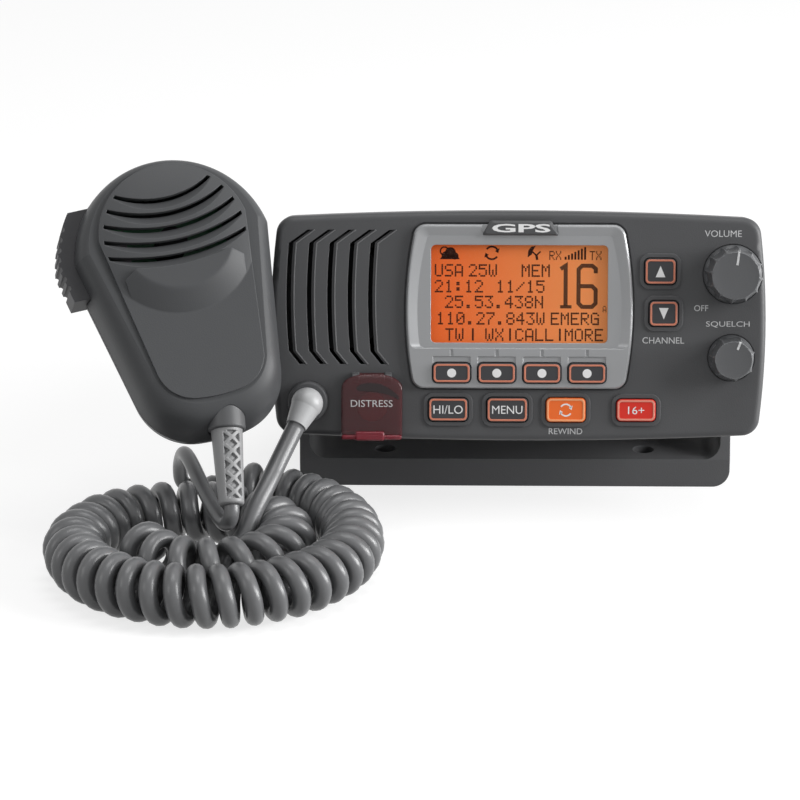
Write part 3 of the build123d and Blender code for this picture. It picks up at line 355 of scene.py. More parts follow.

# materials
# each look's values, under the names of the sockets that take them; lengths are in metres
# the Edge Wear And Highlight column pales edges: partly wear, partly a painted highlight
lookColumns = ("Color", "Roughness", "Metallic", "Grain Size", "Grain Depth", "Patch Change", "Edge Wear And Highlight",
               "Specular IOR Level")
looks = {
    "panelPlastic": ((0.070, 0.071, 0.074), 0.44, 0, 2600, 0.00005, 0.16, 1.2, 0.30),
    "bracketPlastic": ((0.110, 0.111, 0.115), 0.50, 0, 2200, 0.00007, 0.16, 1.0, 0.25),
    "knobPlastic": ((0.078, 0.080, 0.084), 0.34, 0, 2600, 0.00003, 0.14, 5.0, 0.45),
    "handsetPlastic": ((0.058, 0.060, 0.063), 0.45, 0, 2400, 0.00004, 0.14, 1.4, 0.28),
    "bezelSilver": ((0.29, 0.295, 0.302), 0.32, 0.35, 3000, 0.00002, 0.08, 0.8, 0.5),
    "distressRed": ((0.72, 0.03, 0.02), 0.35, 0, 2600, 0.00002, 0.08, 0.4, 0.5),
    "keyRubber": ((0.040, 0.040, 0.043), 0.5, 0, 2600, 0.00003, 0.10, 1.4, 0.30),
    "keyOrange": ((0.83, 0.15, 0.025), 0.45, 0, 2600, 0.00003, 0.08, 0.5, 0.35),
    "keyRed": ((0.64, 0.028, 0.016), 0.45, 0, 2600, 0.00003, 0.08, 0.5, 0.35),
    "steel": ((0.55, 0.55, 0.56), 0.3, 1, 3000, 0.00002, 0.10, 0.4, 0.5),
    "circuitBoard": ((0.02, 0.12, 0.05), 0.4, 0, 900, 0.00004, 0.2, 0.2, 0.5),
    "castCase": ((0.042, 0.042, 0.044), 0.6, 0, 1500, 0.00012, 0.2, 1.0, 0.35),
    "patchCeramic": ((0.62, 0.57, 0.48), 0.5, 0, 1500, 0.00003, 0.1, 0.2, 0.5),
    "sealRubber": ((0.015, 0.015, 0.015), 0.7, 0, 2000, 0.00004, 0.1, 0.4, 0.3),
    "platedBrass": ((0.60, 0.55, 0.42), 0.28, 1, 3000, 0.00002, 0.10, 0.4, 0.5),
    "collarRubber": ((0.085, 0.087, 0.090), 0.42, 0, 2600, 0.00004, 0.12, 1.0, 0.35),
    "reliefGrey": ((0.27, 0.272, 0.276), 0.40, 0, 2600, 0.00004, 0.12, 0.8, 0.40),
    "bootGrey": ((0.42, 0.425, 0.43), 0.36, 0, 2600, 0.00003, 0.10, 0.4, 0.5),
    "cordRubber": ((0.125, 0.127, 0.131), 0.30, 0, 2600, 0.00003, 0.12, 0.0, 0.5),
    "printWhite": ((0.80, 0.80, 0.80), 0.5, 0, 2600, 0.00001, 0.04, 0.0, 0.4),
    "pointerWhite": ((0.60, 0.605, 0.61), 0.5, 0, 2600, 0.00001, 0.04, 0.0, 0.4),
    # a paler grey for the grille's beads: painted highlight along each slot's right edge
    "paintedHighlightGrey": ((0.125, 0.126, 0.130), 0.38, 0, 2600, 0.00003, 0.30, 1.5, 0.4),
    # near-black red: painted shade under the distress cover's arch
    "coverPaintedShade": ((0.010, 0.002, 0.003), 0.25, 0, 2600, 0.00001, 0.04, 0.0, 0.4),
    "printGrey": ((0.52, 0.525, 0.53), 0.5, 0, 2600, 0.00001, 0.04, 0.0, 0.4),
    "keyOutline": ((0.58, 0.20, 0.125), 0.42, 0, 2600, 0.00001, 0.06, 0.5, 0.4),
    "outlineOrange": ((0.86, 0.36, 0.16), 0.42, 0, 2600, 0.00001, 0.06, 0.4, 0.4),
    "outlineRed": ((0.72, 0.26, 0.19), 0.42, 0, 2600, 0.00001, 0.06, 0.4, 0.4),
    "displayInk": ((0.045, 0.014, 0.008), 0.6, 0, 2600, 0.00001, 0.04, 0.0, 0.1),
    "displayBrown": ((0.130, 0.052, 0.024), 0.6, 0, 2600, 0.00001, 0.04, 0.0, 0.1),
    "speakerCloth": ((0.008, 0.008, 0.009), 0.85, 0, 1200, 0.00010, 0.3, 0.0, 0.2),
}
displayLook = {
    "deep": (0.80, 0.135, 0.028), "pale": (0.84, 0.300, 0.100), "from": -0.029, "to": 0.030,
    "own": {"Emission Strength": 0.22, "Roughness": 0.35, "Specular IOR Level": 0.1},
}
# clear and tinted covers: a glossy skin that lets most of what lies behind it through, with slow
# noise that smears its gloss and its tint
clearGrain = {"Grain Size": 120, "Grain Depth": 0.000004}
clearColumns = ("Color", "Roughness", "Alpha", "Specular IOR Level", "Patch Change", "Edge Radius", "Edge Wear And Highlight")
clearLooks = {
    "windowClear": ((0.02, 0.02, 0.02), 0.10, 0.05, 0.15, 0.5, 0.0004, 0.8),
    "coverRed": ((0.072, 0.012, 0.015), 0.12, 0.62, 0.45, 0.3, 0.0009, 2.5),
    # a paler copy of the cover's red: painted highlight where the lip catches the light
    "coverLipHighlight": ((0.22, 0.014, 0.028), 0.20, 0.70, 0.40, 0.2, 0.0004, 0.8),
}
materials = {}


def newLook(name, own):
    # a material with its shader's own values
    look = materials[name] = bpy.data.materials.new(name)
    look.use_nodes = True
    shader = look.node_tree.nodes["Principled BSDF"].inputs
    for socket, value in own.items():
        shader[socket].default_value = value
    return look.node_tree, shader


def grainMaterial(name, values):
    # colour, roughness and normal come from the grain group; what it doesn't take is the shader's own
    known = [socket.name for socket in grainGroup.interface.items_tree]
    tree, shader = newLook(name, {label: values.pop(label) for label in list(values) if label not in known})
    values["Color"] += (1,)
    made = addNode(tree, "Group", values, node_tree=grainGroup).outputs
    for socket, to in (("Color", "Base Color"), ("Roughness", "Roughness"), ("Normal", "Normal")):
        tree.links.new(made[socket], shader[to])


def makeDisplayLook():
    # the lit display: its orange runs from deep to pale across x, and it glows a little of its own
    tree, shader = newLook("displayOrange", displayLook["own"])
    apart = addNode(tree, "SeparateXYZ", {0: addNode(tree, "TexCoord").outputs["Object"]})
    share = addNode(tree, "MapRange", {"Value": apart.outputs["X"], "From Min": displayLook["from"],
                                       "From Max": displayLook["to"]})
    ramp = addNode(tree, "ValToRGB", {0: share.outputs["Result"]})
    for element, end in zip(ramp.color_ramp.elements, ("deep", "pale")):
        element.color = (*displayLook[end], 1)
    for socket in ("Base Color", "Emission Color"):
        tree.links.new(ramp.outputs["Color"], shader[socket])


def makeLooks():
    for name, row in looks.items():
        grainMaterial(name, dict(zip(lookColumns, row)))
    makeDisplayLook()
    for name, row in clearLooks.items():
        grainMaterial(name, {**clearGrain, **dict(zip(clearColumns, row))})


makeLooks()

nodeLooks = {
    "bracketPlastic": "mounting_bracket power_gland volume_control squelch_control ptt_switch",
    "panelPlastic": "front_panel display_badge cord_ring",
    "bezelSilver": "display_bezel",
    "windowClear": "display_window",
    "displayOrange": "lcd_module",
    "distressRed": "distress_button",
    "coverRed": "distress_cover",
    "steel": "cover_pin housing_screws volume_shaft squelch_shaft gimbal_stud_left gimbal_stud_right "
             "handset_screws key_switches power_amplifier",
    "speakerCloth": "speaker microphone_element",
    "circuitBoard": "front_board main_board handset_board",
    "castCase": "rear_housing heat_sink",
    "patchCeramic": "gps_antenna",
    "sealRubber": "housing_gasket knob_seals gimbal_pads handset_gasket",
    "platedBrass": "antenna_socket pivot_inserts hanger_stud",
    "keyRubber": "power_level_key menu_key channel_up_key channel_down_key soft_key_1 soft_key_2 "
                 "soft_key_3 soft_key_4 ptt_button",
    "keyOrange": "rewind_key",
    "keyRed": "channel_16_key",
    "knobPlastic": "volume_knob squelch_knob gimbal_knob_left gimbal_knob_right",
    "handsetPlastic": "handset_front handset_back",
    "collarRubber": "relief_collar",
    "reliefGrey": "cord_relief",
    "bootGrey": "cord_boot",
    "cordRubber": "panel_lead curly_cord handset_lead",
}


def dressNodes():
    for lookName, names in nodeLooks.items():
        for name in names.split():
            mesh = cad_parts[name].data
            mesh.materials.clear()
            mesh.materials.append(materials[lookName])


dressNodes()
print("materials made")

# the cord
curl = {
    "centre": (-0.1004, -0.1043), "height": 0.0106, "runs": 21,
    "startAngle": 185.0, "stepOut": 442.0, "stepped": 552.0, "endAngle": 815.0,
    "startRadius": 0.0225, "innerRadius": 0.0265, "outerRadius": 0.0463, "endRadius": 0.0490,
    "cord": 0.0030, "curlRadius": 0.0074, "innerPitch": 0.0060, "pointsPerLoop": 26, "around": 14,
    "samples": 1400,
    # the loops that an end takes to reach its full radius, and how much loops lean (radians) and
    # shrink (share of their radius)
    "growOver": 0.8, "seed": 7, "leanSpread": 0.05, "wideSpread": 0.02,
}
boot = {"bend": (-69.9, -66.0, -25.3), "taper": 0.009}
leadTop = np.array([-0.0788, -0.0854, 0.0318])
handsetLead = {"radius": 0.0025, "reliefEnd": (0, 0, -31.0), "reliefAhead": (0, 0, -33.6)}


def coilPoints():
    # two turns about the coil's centre: an inner one, a smooth step outwards and an outer one
    angle = np.linspace(curl["startAngle"], curl["endAngle"], curl["runs"] + 1)
    share = smoothStep((angle - curl["stepOut"]) / (curl["stepped"] - curl["stepOut"]))
    innerSlope = (curl["innerRadius"] - curl["startRadius"]) / (curl["stepOut"] - curl["startAngle"])
    outerSlope = (curl["endRadius"] - curl["outerRadius"]) / (curl["endAngle"] - curl["stepped"])
    inner = curl["startRadius"] + innerSlope * (angle - curl["startAngle"])
    outer = curl["outerRadius"] + outerSlope * (angle - curl["stepped"])
    r, a = inner * (1 - share) + outer * share, np.radians(angle)
    x, y = curl["centre"][0] + r * np.cos(a), curl["centre"][1] + r * np.sin(a)
    return np.stack([x, y, np.full_like(x, curl["height"])], 1)


def inLine(before, end, distance):
    # the point a distance past end, in line with the run that arrives there
    return end + unit(end - before) * distance


coil = coilPoints()
bootBend = onRadio(boot["bend"])
panelLeadPoints = np.array([
    bootBend + unit(leadTop - bootBend) * boot["taper"],
    leadTop,
    (-0.0826, -0.0948, 0.0260),
    (-0.0868, -0.1018, 0.0196),
    (-0.0902, -0.1066, 0.0118),
    (-0.0958, -0.1086, 0.0080),
    (-0.1034, -0.1046, 0.0068),
    (-0.1106, -0.0996, 0.0074),
    (-0.1170, -0.0964, 0.0090),
    (-0.1216, -0.0976, 0.0102),
    inLine(coil[1], coil[0], 0.0055),
    coil[0],
])
handsetLeadPoints = np.array([
    onRelief(handsetLead["reliefEnd"]),
    onRelief(handsetLead["reliefAhead"]),
    (-0.0939, -0.1098, 0.0196),
    (-0.0959, -0.1069, 0.0179),
    (-0.1005, -0.0980, 0.0215),
    (-0.1045, -0.0884, 0.0254),
    (-0.1083, -0.0784, 0.0290),
    (-0.1110, -0.0700, 0.0292),
    (-0.1126, -0.0628, 0.0246),
    (-0.1136, -0.0580, 0.0186),
    (-0.1134, -0.0550, 0.0128),
    inLine(coil[-2], coil[-1], 0.0060),
    coil[-1],
])


def makeCurlyCord():
    # a helix about the coil's own line: its radius grows from nothing over the first part of a loop
    # and falls back at the end, so that each end runs on into its lead
    line, length = evenly(routeLine(coil), curl["samples"])
    # the loops touch on the inside of the bend, so their pitch on the line grows as the bend tightens
    bend = np.linalg.norm(line[:, :2] - curl["centre"], axis=1)
    pitch = curl["innerPitch"] * bend / (bend - curl["curlRadius"])
    along = np.concatenate([[0], np.cumsum(length / (len(line) - 1) / ((pitch[1:] + pitch[:-1]) / 2))])
    loops = round(along[-1])
    along *= loops / along[-1]
    loopAt = np.linspace(0, loops, loops * curl["pointsPerLoop"])
    line = pointsAt(line, along, loopAt)
    side, other = carried(line)
    grow = smoothStep(np.minimum(loopAt, loops - loopAt) / curl["growOver"])
    wander, knots = np.random.default_rng(curl["seed"]), np.arange(loops + 1)
    lean = np.interp(loopAt, knots, wander.normal(0, curl["leanSpread"], loops + 1))
    wide = np.interp(loopAt, knots, 1 - np.abs(wander.normal(0, curl["wideSpread"], loops + 1)))
    turn = 2 * math.pi * loopAt + lean
    radius = (curl["curlRadius"] * grow * wide)[:, None]
    path = line + radius * (np.cos(turn)[:, None] * side + np.sin(turn)[:, None] * other)
    piece = tubeMesh("curlyCordCurls", path, curl["cord"], curl["around"])
    dress(piece, "cordRubber", "bracket", "curly_cord")


leads = {
    # name: node, route, cord's radius, body of its first end, the point from which it lies still
    "panelLeadCord": ("panel_lead", panelLeadPoints, curl["cord"], "radio", 6),
    "handsetLeadCord": ("handset_lead", handsetLeadPoints, handsetLead["radius"], "handset", 10),
}
leadAround = 28


def makeLeads():
    # a tube along each route's own spline with the cord's finish, in place of the node that it
    # stands for, which is hidden
    for name, (node, points, radius, body, still) in leads.items():
        line = routeLine(points)
        piece = tubeMesh(name, line, radius, leadAround)
        piece.data.materials.append(materials["cordRubber"])
        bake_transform(piece)
        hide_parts(node)


makeCurlyCord()
makeLeads()
print("cords made")

# flat marks: print, outlines, display figures
def arcPoints(x, z, radius, start, end, count):
    a = np.radians(np.linspace(start, end, count))
    return np.stack([x + radius * np.cos(a), z + radius * np.sin(a)], 1).tolist()


def disc(x, z, radius, count=24):
    return arcPoints(x, z, radius, 0, 360 - 360 / count, count), [list(range(count))]


def polygon(points):
    return [list(p) for p in points], [list(range(len(points)))]


def arcBand(x, z, radius, width, start, end, count=16):
    # a band along an arc, from the start angle on to the end angle
    outer, inner = (arcPoints(x, z, radius + half, start, end, count) for half in (width / 2, -width / 2))
    return outer + inner, [[i + 1, i, count + i, count + i + 1] for i in range(count - 1)]


def turnArrows(x, z, radius, width, start, sweep, tip, head, near, far):
    # two arrows that chase each other round a middle: a band each, whose head reaches from its near
    # to its far radius; its tip runs ahead of the band's start
    shapes = []
    for first in (start, start + 180):
        shapes.append(arcBand(x, z, radius, width, first, first + sweep))
        ahead, outer, inner = (arcPoints(x, z, reach, first + at, first + at, 1)[0]
                               for reach, at in ((radius, tip), (far, head), (near, head)))
        shapes.append(polygon([ahead, outer, inner]))
    return shapes


def roundedLoop(x, z, width, height, corner, count=6):
    loop = []
    for right, up, start in ((1, 1, 0), (-1, 1, 90), (-1, -1, 180), (1, -1, 270)):
        loop += arcPoints(x + right * (width / 2 - corner), z + up * (height / 2 - corner), corner,
                          start, start + 90, count)
    return loop


def outline(x, z, width, height, corner, band):
    # a rounded rectangle's border, band wide
    outer = roundedLoop(x, z, width, height, corner)
    inner = roundedLoop(x, z, width - 2 * band, height - 2 * band, corner - band * 0.7)
    n = len(outer)
    return outer + inner, [[i, (i + 1) % n, n + (i + 1) % n, n + i] for i in range(n)]


def stroke(points, width):
    # a thick line through points, mitred at its corners
    line = np.array(points, float)
    run = unit(np.diff(line, axis=0))
    square = np.stack([-run[:, 1], run[:, 0]], 1)
    first, last = square[:1], square[-1:]
    mitre = unit(square[:-1] + square[1:])
    mitre = mitre / np.sum(mitre * square[:-1], axis=1, keepdims=True)
    offset = np.concatenate([first, mitre, last]) * width / 2
    n = len(line)
    both = np.concatenate([line + offset, line - offset]).tolist()
    return both, [[n + i, n + i + 1, i + 1, i] for i in range(n - 1)]


def textShape(words, x, z, width, height, weight=0.0):
    # words in the plain face, fitted to a width and a height about a middle
    data = bpy.data.curves.new("words", "FONT")
    data.body, data.offset, data.resolution_u = words, weight, 3
    points, faces = evaluated(data)
    flat = points[:, :2]
    low, high = flat.min(axis=0), flat.max(axis=0)
    return ((flat - (low + high) / 2) / (high - low) * (width, height) + (x, z)).tolist(), faces


# five columns of seven dots for each character, the top dot is the lowest bit
dotFont = {
    "0": (62, 81, 73, 69, 62), "1": (0, 66, 127, 64, 0), "2": (66, 97, 81, 73, 70),
    "3": (33, 65, 69, 75, 49), "4": (24, 20, 18, 127, 16), "5": (39, 69, 69, 69, 57),
    "7": (1, 113, 9, 5, 3), "8": (54, 73, 73, 73, 54), "A": (126, 17, 17, 17, 126),
    "C": (62, 65, 65, 65, 34), "E": (127, 73, 73, 73, 65), "G": (62, 65, 73, 73, 122),
    "L": (127, 64, 64, 64, 64), "M": (127, 2, 12, 2, 127), "N": (127, 4, 8, 16, 127),
    "O": (62, 65, 65, 65, 62), "R": (127, 9, 25, 41, 70), "S": (70, 73, 73, 73, 49),
    "T": (1, 1, 127, 1, 1), "U": (63, 64, 64, 64, 63), "W": (63, 64, 56, 64, 63),
    "X": (99, 20, 8, 20, 99), ".": (0, 96, 96, 0, 0), ":": (0, 54, 54, 0, 0),
    "/": (32, 16, 8, 4, 2),
}


def dotText(words, left, top, stepX, stepZ):
    # a square for each lit dot, nearly as wide as a step, and six columns to a character
    lit = [(place * 6 + column + 0.5, row + 0.5) for place, letter in enumerate(words)
           for column, bits in enumerate(dotFont[letter]) for row in range(7) if bits >> row & 1]
    half = 0.46
    points = [[left + (x + right) * stepX, top - (z + down) * stepZ] for x, z in lit
              for right, down in ((-half, half), (half, half), (half, -half), (-half, -half))]
    return points, np.arange(len(points)).reshape(-1, 4).tolist()


def mark(name, body, look, shapes, y, thick):
    # flat shapes in the radio's front view, given as (x, z) points and faces in millimetres:
    # they stand on depth y and are thick towards the user
    points, faces = [], []
    for flat, polygons in shapes:
        base, count = len(points), len(flat)
        edges = {(a, b) for polygon in polygons for a, b in zip(polygon, polygon[1:] + polygon[:1])}
        points += [(x, y - thick, z) for x, z in flat] + [(x, y, z) for x, z in flat]
        faces += [[base + i for i in polygon] for polygon in polygons]
        faces += [(base + b, base + a, base + count + a, base + count + b)
                  for a, b in sorted(edges) if (b, a) not in edges]
    dress(meshObject(name, onRadio(points), faces, smooth=False), look, body)


# what the display shows
display = {"y": -55.5, "thick": 0.03, "left": -28.66, "top": 27.1, "stepX": 0.555, "stepZ": 0.60}
# radius, width, start and sweep, turns of the tip and the head's foot, the head's near and far radius
displayArrows = (2.1, 0.62, 20, 125, -22, 12, 1.2, 3.0)
displayArrowsAt = (19.8, 2.75)
rewindArrows = (1.95, 0.5, 25, 120, -25, 10, 1.2, 2.7)
# bars that stand on a low edge, as x, low edge, width and height: dividers, and the signal's steps
displayBars = [(x, 32.0, 0.6, 4.1) for x in (13.3, 25.7, 42.3)]
displayBars += [(44.0 + 1.08 * i, 4.9, 0.65, 1.0 + 3.2 * i / 6) for i in range(7)]
dotRows = [
    # words, left edge and top edge in millimetres on the display
    ("USA", 0.8, 6.5), ("25W", 12.1, 6.5), ("MEM", 29.7, 6.5),
    ("21:12", 0.8, 11.8), ("11/15", 21.3, 11.8),
    ("25.53.438N", 4.2, 17.0),
    ("110.27.843W", 1.4, 22.5), ("EMERG", 39.5, 22.5),
    ("TW", 4.4, 27.9), ("WX", 17.7, 27.9), ("CALL", 27.7, 27.9), ("MORE", 44.2, 27.9),
]
smallRows = [
    # words, left edge, top edge, and a dot's step across and down
    ("RX", 38.9, 2.0, 0.36, 0.43), ("TX", 52.3, 2.0, 0.36, 0.43), ("A", 56.8, 20.3, 0.24, 0.30),
]
displayCloud = {
    # discs (x, z, radius) on a foot, and the sun's ring behind: x, z, radius, width, start and end
    "discs": [(4.4, 3.6, 1.3), (6.0, 2.7, 1.8), (7.5, 3.8, 1.2)],
    "foot": [(2.5, 4.9), (9.1, 4.9), (8.4, 3.6), (3.4, 3.6)], "sun": (4.0, 2.2, 1.35, 0.45, 20, 250),
}
displayDish = {
    "bowl": [(31.7, 4.2), (31.9, 2.0), (32.8, 0.7), (34.4, 0.3), (33.4, 2.0), (33.1, 3.2)],
    "strokes": [([(33.1, 2.2), (34.6, 3.5), (36.0, 2.2)], 0.5), ([(34.6, 3.4), (34.9, 5.0)], 0.8)],
}
channelStrokes = [
    # the two large figures: a one on its foot, and a six
    ([(42.7, 8.0), (44.4, 6.9), (44.4, 20.4)], 1.35), ([(42.6, 20.6), (46.4, 20.6)], 1.1),
    ([(54.4, 9.4), (54.4, 7.9), (53.2, 6.9), (49.9, 6.9), (48.7, 8.1), (48.7, 19.4), (49.9, 20.6),
      (53.2, 20.6), (54.4, 19.4), (54.4, 14.9), (53.2, 13.7), (49.2, 13.7)], 1.35),
]


def onDisplay(points):
    return [(display["left"] + x, display["top"] - z) for x, z in points]


def makeDisplay():
    left, top = display["left"], display["top"]
    rows = [(*row, display["stepX"], display["stepZ"]) for row in dotRows] + smallRows
    shapes = [dotText(words, left + x, top - z, stepX, stepZ) for words, x, z, stepX, stepZ in rows]
    shapes += [polygon(onDisplay([(x, low), (x + wide, low), (x + wide, low - high), (x, low - high)]))
               for x, low, wide, high in displayBars]
    x, z = displayArrowsAt
    shapes += turnArrows(left + x, top - z, *displayArrows)
    shapes += [disc(left + x, top - z, r) for x, z, r in displayCloud["discs"]]
    shapes.append(polygon(onDisplay(displayCloud["foot"])))
    x, z, *ring = displayCloud["sun"]
    shapes.append(arcBand(left + x, top - z, *ring))
    shapes.append(polygon(onDisplay(displayDish["bowl"])))
    shapes += [stroke(onDisplay(points), width) for points, width in displayDish["strokes"]]
    mark("displayFigures", "radio", "displayInk", shapes, display["y"], display["thick"])
    digits = [stroke(onDisplay(points), width) for points, width in channelStrokes]
    mark("displayChannel", "radio", "displayBrown", digits, display["y"], display["thick"])


makeDisplay()

# the knobs on the panel
grips = {
    # name: (node, body, middle x and z, foot radius, front's depth, ribs, first rib's turn)
    "volumeGrip": ("volume_knob", "volume", 71.2, 17.7, 9.7, -70.2, 12, 7.0),
    "squelchGrip": ("squelch_knob", "squelch", 70.9, -10.2, 7.6, -68.7, 7, 20.0),
}
grip = {
    # radii in millimetres, and depths in the radio's own axes; the bore stops behind the front
    "bore": 3.05, "boreStop": 3.0, "hollow": 5.6, "hollowTop": -59.1, "footBack": -56.7,
    # how far each part of the foot stands in front of its back
    "foot": {"back": 0.0, "top": 0.7, "edge": 1.0, "skirt": 1.7},
    # the outside from foot to front: share of the foot's radius, part of the foot or distance
    # behind the front, share of the ribs' height
    "outside": [(1.00, "back", 0.0), (1.00, "top", 0.0), (0.985, "edge", 0.1), (0.945, "skirt", 0.9),
                (0.935, 4.2, 1.0), (0.920, 2.4, 1.0), (0.900, 1.50, 1.0), (0.872, 0.80, 0.85),
                (0.835, 0.24, 0.35), (0.800, 0.0, 0.0), (0.760, 0.05, 0.0), (0.60, 0.20, 0.0),
                (0.30, 0.28, 0.0)],
    # the ribs' height as a share of the foot's radius, and what of it stands out where a rib is
    "ribHeight": 0.105, "ribMiddle": 0.45, "fluteShape": 0.55, "around": 252, "sharp": 40,
}
pointer = {"half": 0.38, "proud": 0.09, "sunk": 0.03, "points": 14}
pointers = {
    # name: (grip, turn from the top in degrees, from and to as shares of the foot's radius)
    "volumePointer": ("volumeGrip", 7.0, 0.36, 0.93), "squelchPointer": ("squelchGrip", 20.0, 0.47, 0.90),
}


def gripProfile(radius, front):
    # the outside's rows as radius, depth and rib share, in millimetres
    foot = grip["foot"]
    return np.array([(share * radius, grip["footBack"] - foot[at] if at in foot else front + at, rib)
                     for share, at, rib in grip["outside"]])


def makeGrips():
    # turned about the shaft: radius is the profile's, less the flutes; between two ribs a flute is
    # as deep as the sine of half its turn, to a low power, so the ribs stay narrow and sharp
    for name, (node, body, x, z, radius, front, ribs, first) in grips.items():
        angle = np.linspace(0, 2 * math.pi, grip["around"], endpoint=False)
        flute = np.abs(np.sin(ribs * (angle - math.radians(first)) / 2)) ** grip["fluteShape"]
        rows = [(grip["bore"], front + grip["boreStop"], 0), (grip["bore"], grip["hollowTop"], 0),
                (grip["hollow"], grip["hollowTop"], 0), (grip["hollow"], grip["footBack"], 0),
                *gripProfile(radius, front)]
        r, y, rib = np.array(rows, float).T
        reach = r[:, None] + rib[:, None] * grip["ribHeight"] * radius * (grip["ribMiddle"] - flute[None])
        loops = np.stack([x + reach * np.sin(angle), np.broadcast_to(y[:, None], reach.shape),
                          z + reach * np.cos(angle)], -1)
        dress(loopsMesh(name, loops, onRadio), "knobPlastic", body, node, grip["sharp"])


def makePointers():
    # a strip that follows the grip's front outwards; its four edges are the loops' four points
    half, proud = pointer["half"], pointer["proud"]
    for name, (of, turn, near, far) in pointers.items():
        _, body, x, z, radius, front, _, _ = grips[of]
        rows = gripProfile(radius, front)[::-1]
        r = np.linspace(near, far, pointer["points"]) * radius
        y = np.interp(r, rows[:, 0], rows[:, 1]) + pointer["sunk"]
        a = math.radians(turn)
        along, across = np.array([math.sin(a), math.cos(a)]), np.array([math.cos(a), -math.sin(a)])
        loops = []
        for side, lift in ((-half, 0), (half, 0), (half, proud), (-half, proud)):
            flat = r[:, None] * along + side * across + (x, z)
            loops.append(np.stack([flat[:, 0], y - lift, flat[:, 1]], 1))
        piece = loopsMesh(name, np.stack(loops, 1), onRadio, smooth=False)
        dress(piece, "pointerWhite", body)


makeGrips()
makePointers()

# the badge over the display
badge = {
    "x": 0.6, "low": 30.3, "high": 35.2, "halfLow": 12.4, "halfHigh": 10.1,
    # its right side from the low corner to the high one, as steps from each
    "lowSide": [(0, 0), (0.15, 0.5)], "highSide": [(0.55, -0.9), (0.2, -0.3), (-0.5, 0)],
    "back": -58.68, "edge": -59.45, "front": -59.98, "slope": 0.7, "drawIn": 1.3,
}


def badgeLoop(inset, y):
    # the outline drawn in by the inset, and by rather more at its sides
    side, low, high = inset * badge["drawIn"], badge["low"] + inset, badge["high"] - inset
    right = [(badge["halfLow"] - side + x, low + z) for x, z in badge["lowSide"]]
    right += [(badge["halfHigh"] - side + x, high + z) for x, z in badge["highSide"]]
    flat = right + [(-x, z) for x, z in right[::-1]]
    return [(badge["x"] + x, y, z) for x, z in flat]


def makeBadge():
    insets = {"back": 0, "edge": 0, "front": badge["slope"]}
    loops = [badgeLoop(inset, badge[depth]) for depth, inset in insets.items()]
    dress(loopsMesh("badgePlate", loops, onRadio, smooth=False), "panelPlastic", "radio",
          "display_badge")


makeBadge()

# the hinged cover over the distress button
hood = {
    "x": -48.6, "half": 10.1, "low": -37.0, "shoulder": -20.9, "top": -15.75, "arch": 2.25, "wall": 1.1,
    "front": -61.9, "back": -57.35, "archBack": -61.12, "inner": -61.14, "wallTop": -19.4, "wallFade": 0.5,
    # the rounded front edge, as insets and distances behind the front
    "edge": [(0, 0.74), (0.12, 0.36), (0.38, 0.10), (0.8, 0)],
    # the foot's cut corners, the points up each side and over the arch, and the turn kept sharp
    "cut": 0.4, "sidePoints": 8, "archPoints": 41, "sharp": 35,
    # the knuckle about the pin
    "axis": (-59.0, -17.3), "barrel": 1.68, "barrelHalf": 4.05, "barrelPoints": 9, "barrelAround": 28,
    "barrelSharp": 40,
}
hoodLips = {
    # the lip that a finger lifts, and its tab: left, right, low, high, and how far it stands proud
    "distressLip": (-10.0, 9.9, -37.6, -36.1, 1.0), "distressTab": (-5.4, 4.2, -37.9, -34.9, 1.5),
}
hoodPaintedShade = {
    # painted shade: a dark band under the arch, put where the cover's roof casts its shadow; its upper and
    # lower edge, from left to right
    "upper": [(-53.7, -20.3), (-52.6, -19.3), (-49.7, -18.7), (-46.0, -19.0), (-43.4, -20.1), (-41.0, -21.8),
              (-39.6, -23.2)],
    "lower": [(-53.5, -21.2), (-52.2, -21.5), (-49.7, -21.6), (-46.5, -21.9), (-43.4, -22.6), (-41.3, -23.4),
              (-39.6, -24.3)],
    "thick": 0.05,
}
hoodLip = {"sunk": 0.5, "bevel": 0.4, "corner": 0.6, "cornerCut": 0.5}


def hoodLoop(inset, y):
    # straight sides and foot with a superellipse for the top; y is one depth, or None for the back
    # edge, which stands off above the side walls so that it clears the hinge
    half, low, top = hood["half"] - inset, hood["low"] + inset, hood["top"] - inset
    up = np.linspace(low + hood["cut"], hood["shoulder"], hood["sidePoints"])
    a = np.radians(np.linspace(0, 180, hood["archPoints"]))[1:-1]
    power = 2 / hood["arch"]
    arch = np.stack([half * np.sign(np.cos(a)) * np.abs(np.cos(a)) ** power,
                     hood["shoulder"] + (top - hood["shoulder"]) * np.sin(a) ** power], 1)
    right = np.stack([np.full_like(up, half), up], 1)
    foot = np.array([(-half + hood["cut"], low), (half - hood["cut"], low)])
    flat = np.concatenate([foot, right, arch, (right * (-1, 1))[::-1]])
    if y is None:
        share = np.clip((flat[:, 1] - hood["wallTop"]) / hood["wallFade"], 0, 1)
        y = hood["back"] + (hood["archBack"] - hood["back"]) * share
    return np.stack([hood["x"] + flat[:, 0], np.broadcast_to(y, len(flat)), flat[:, 1]], 1)


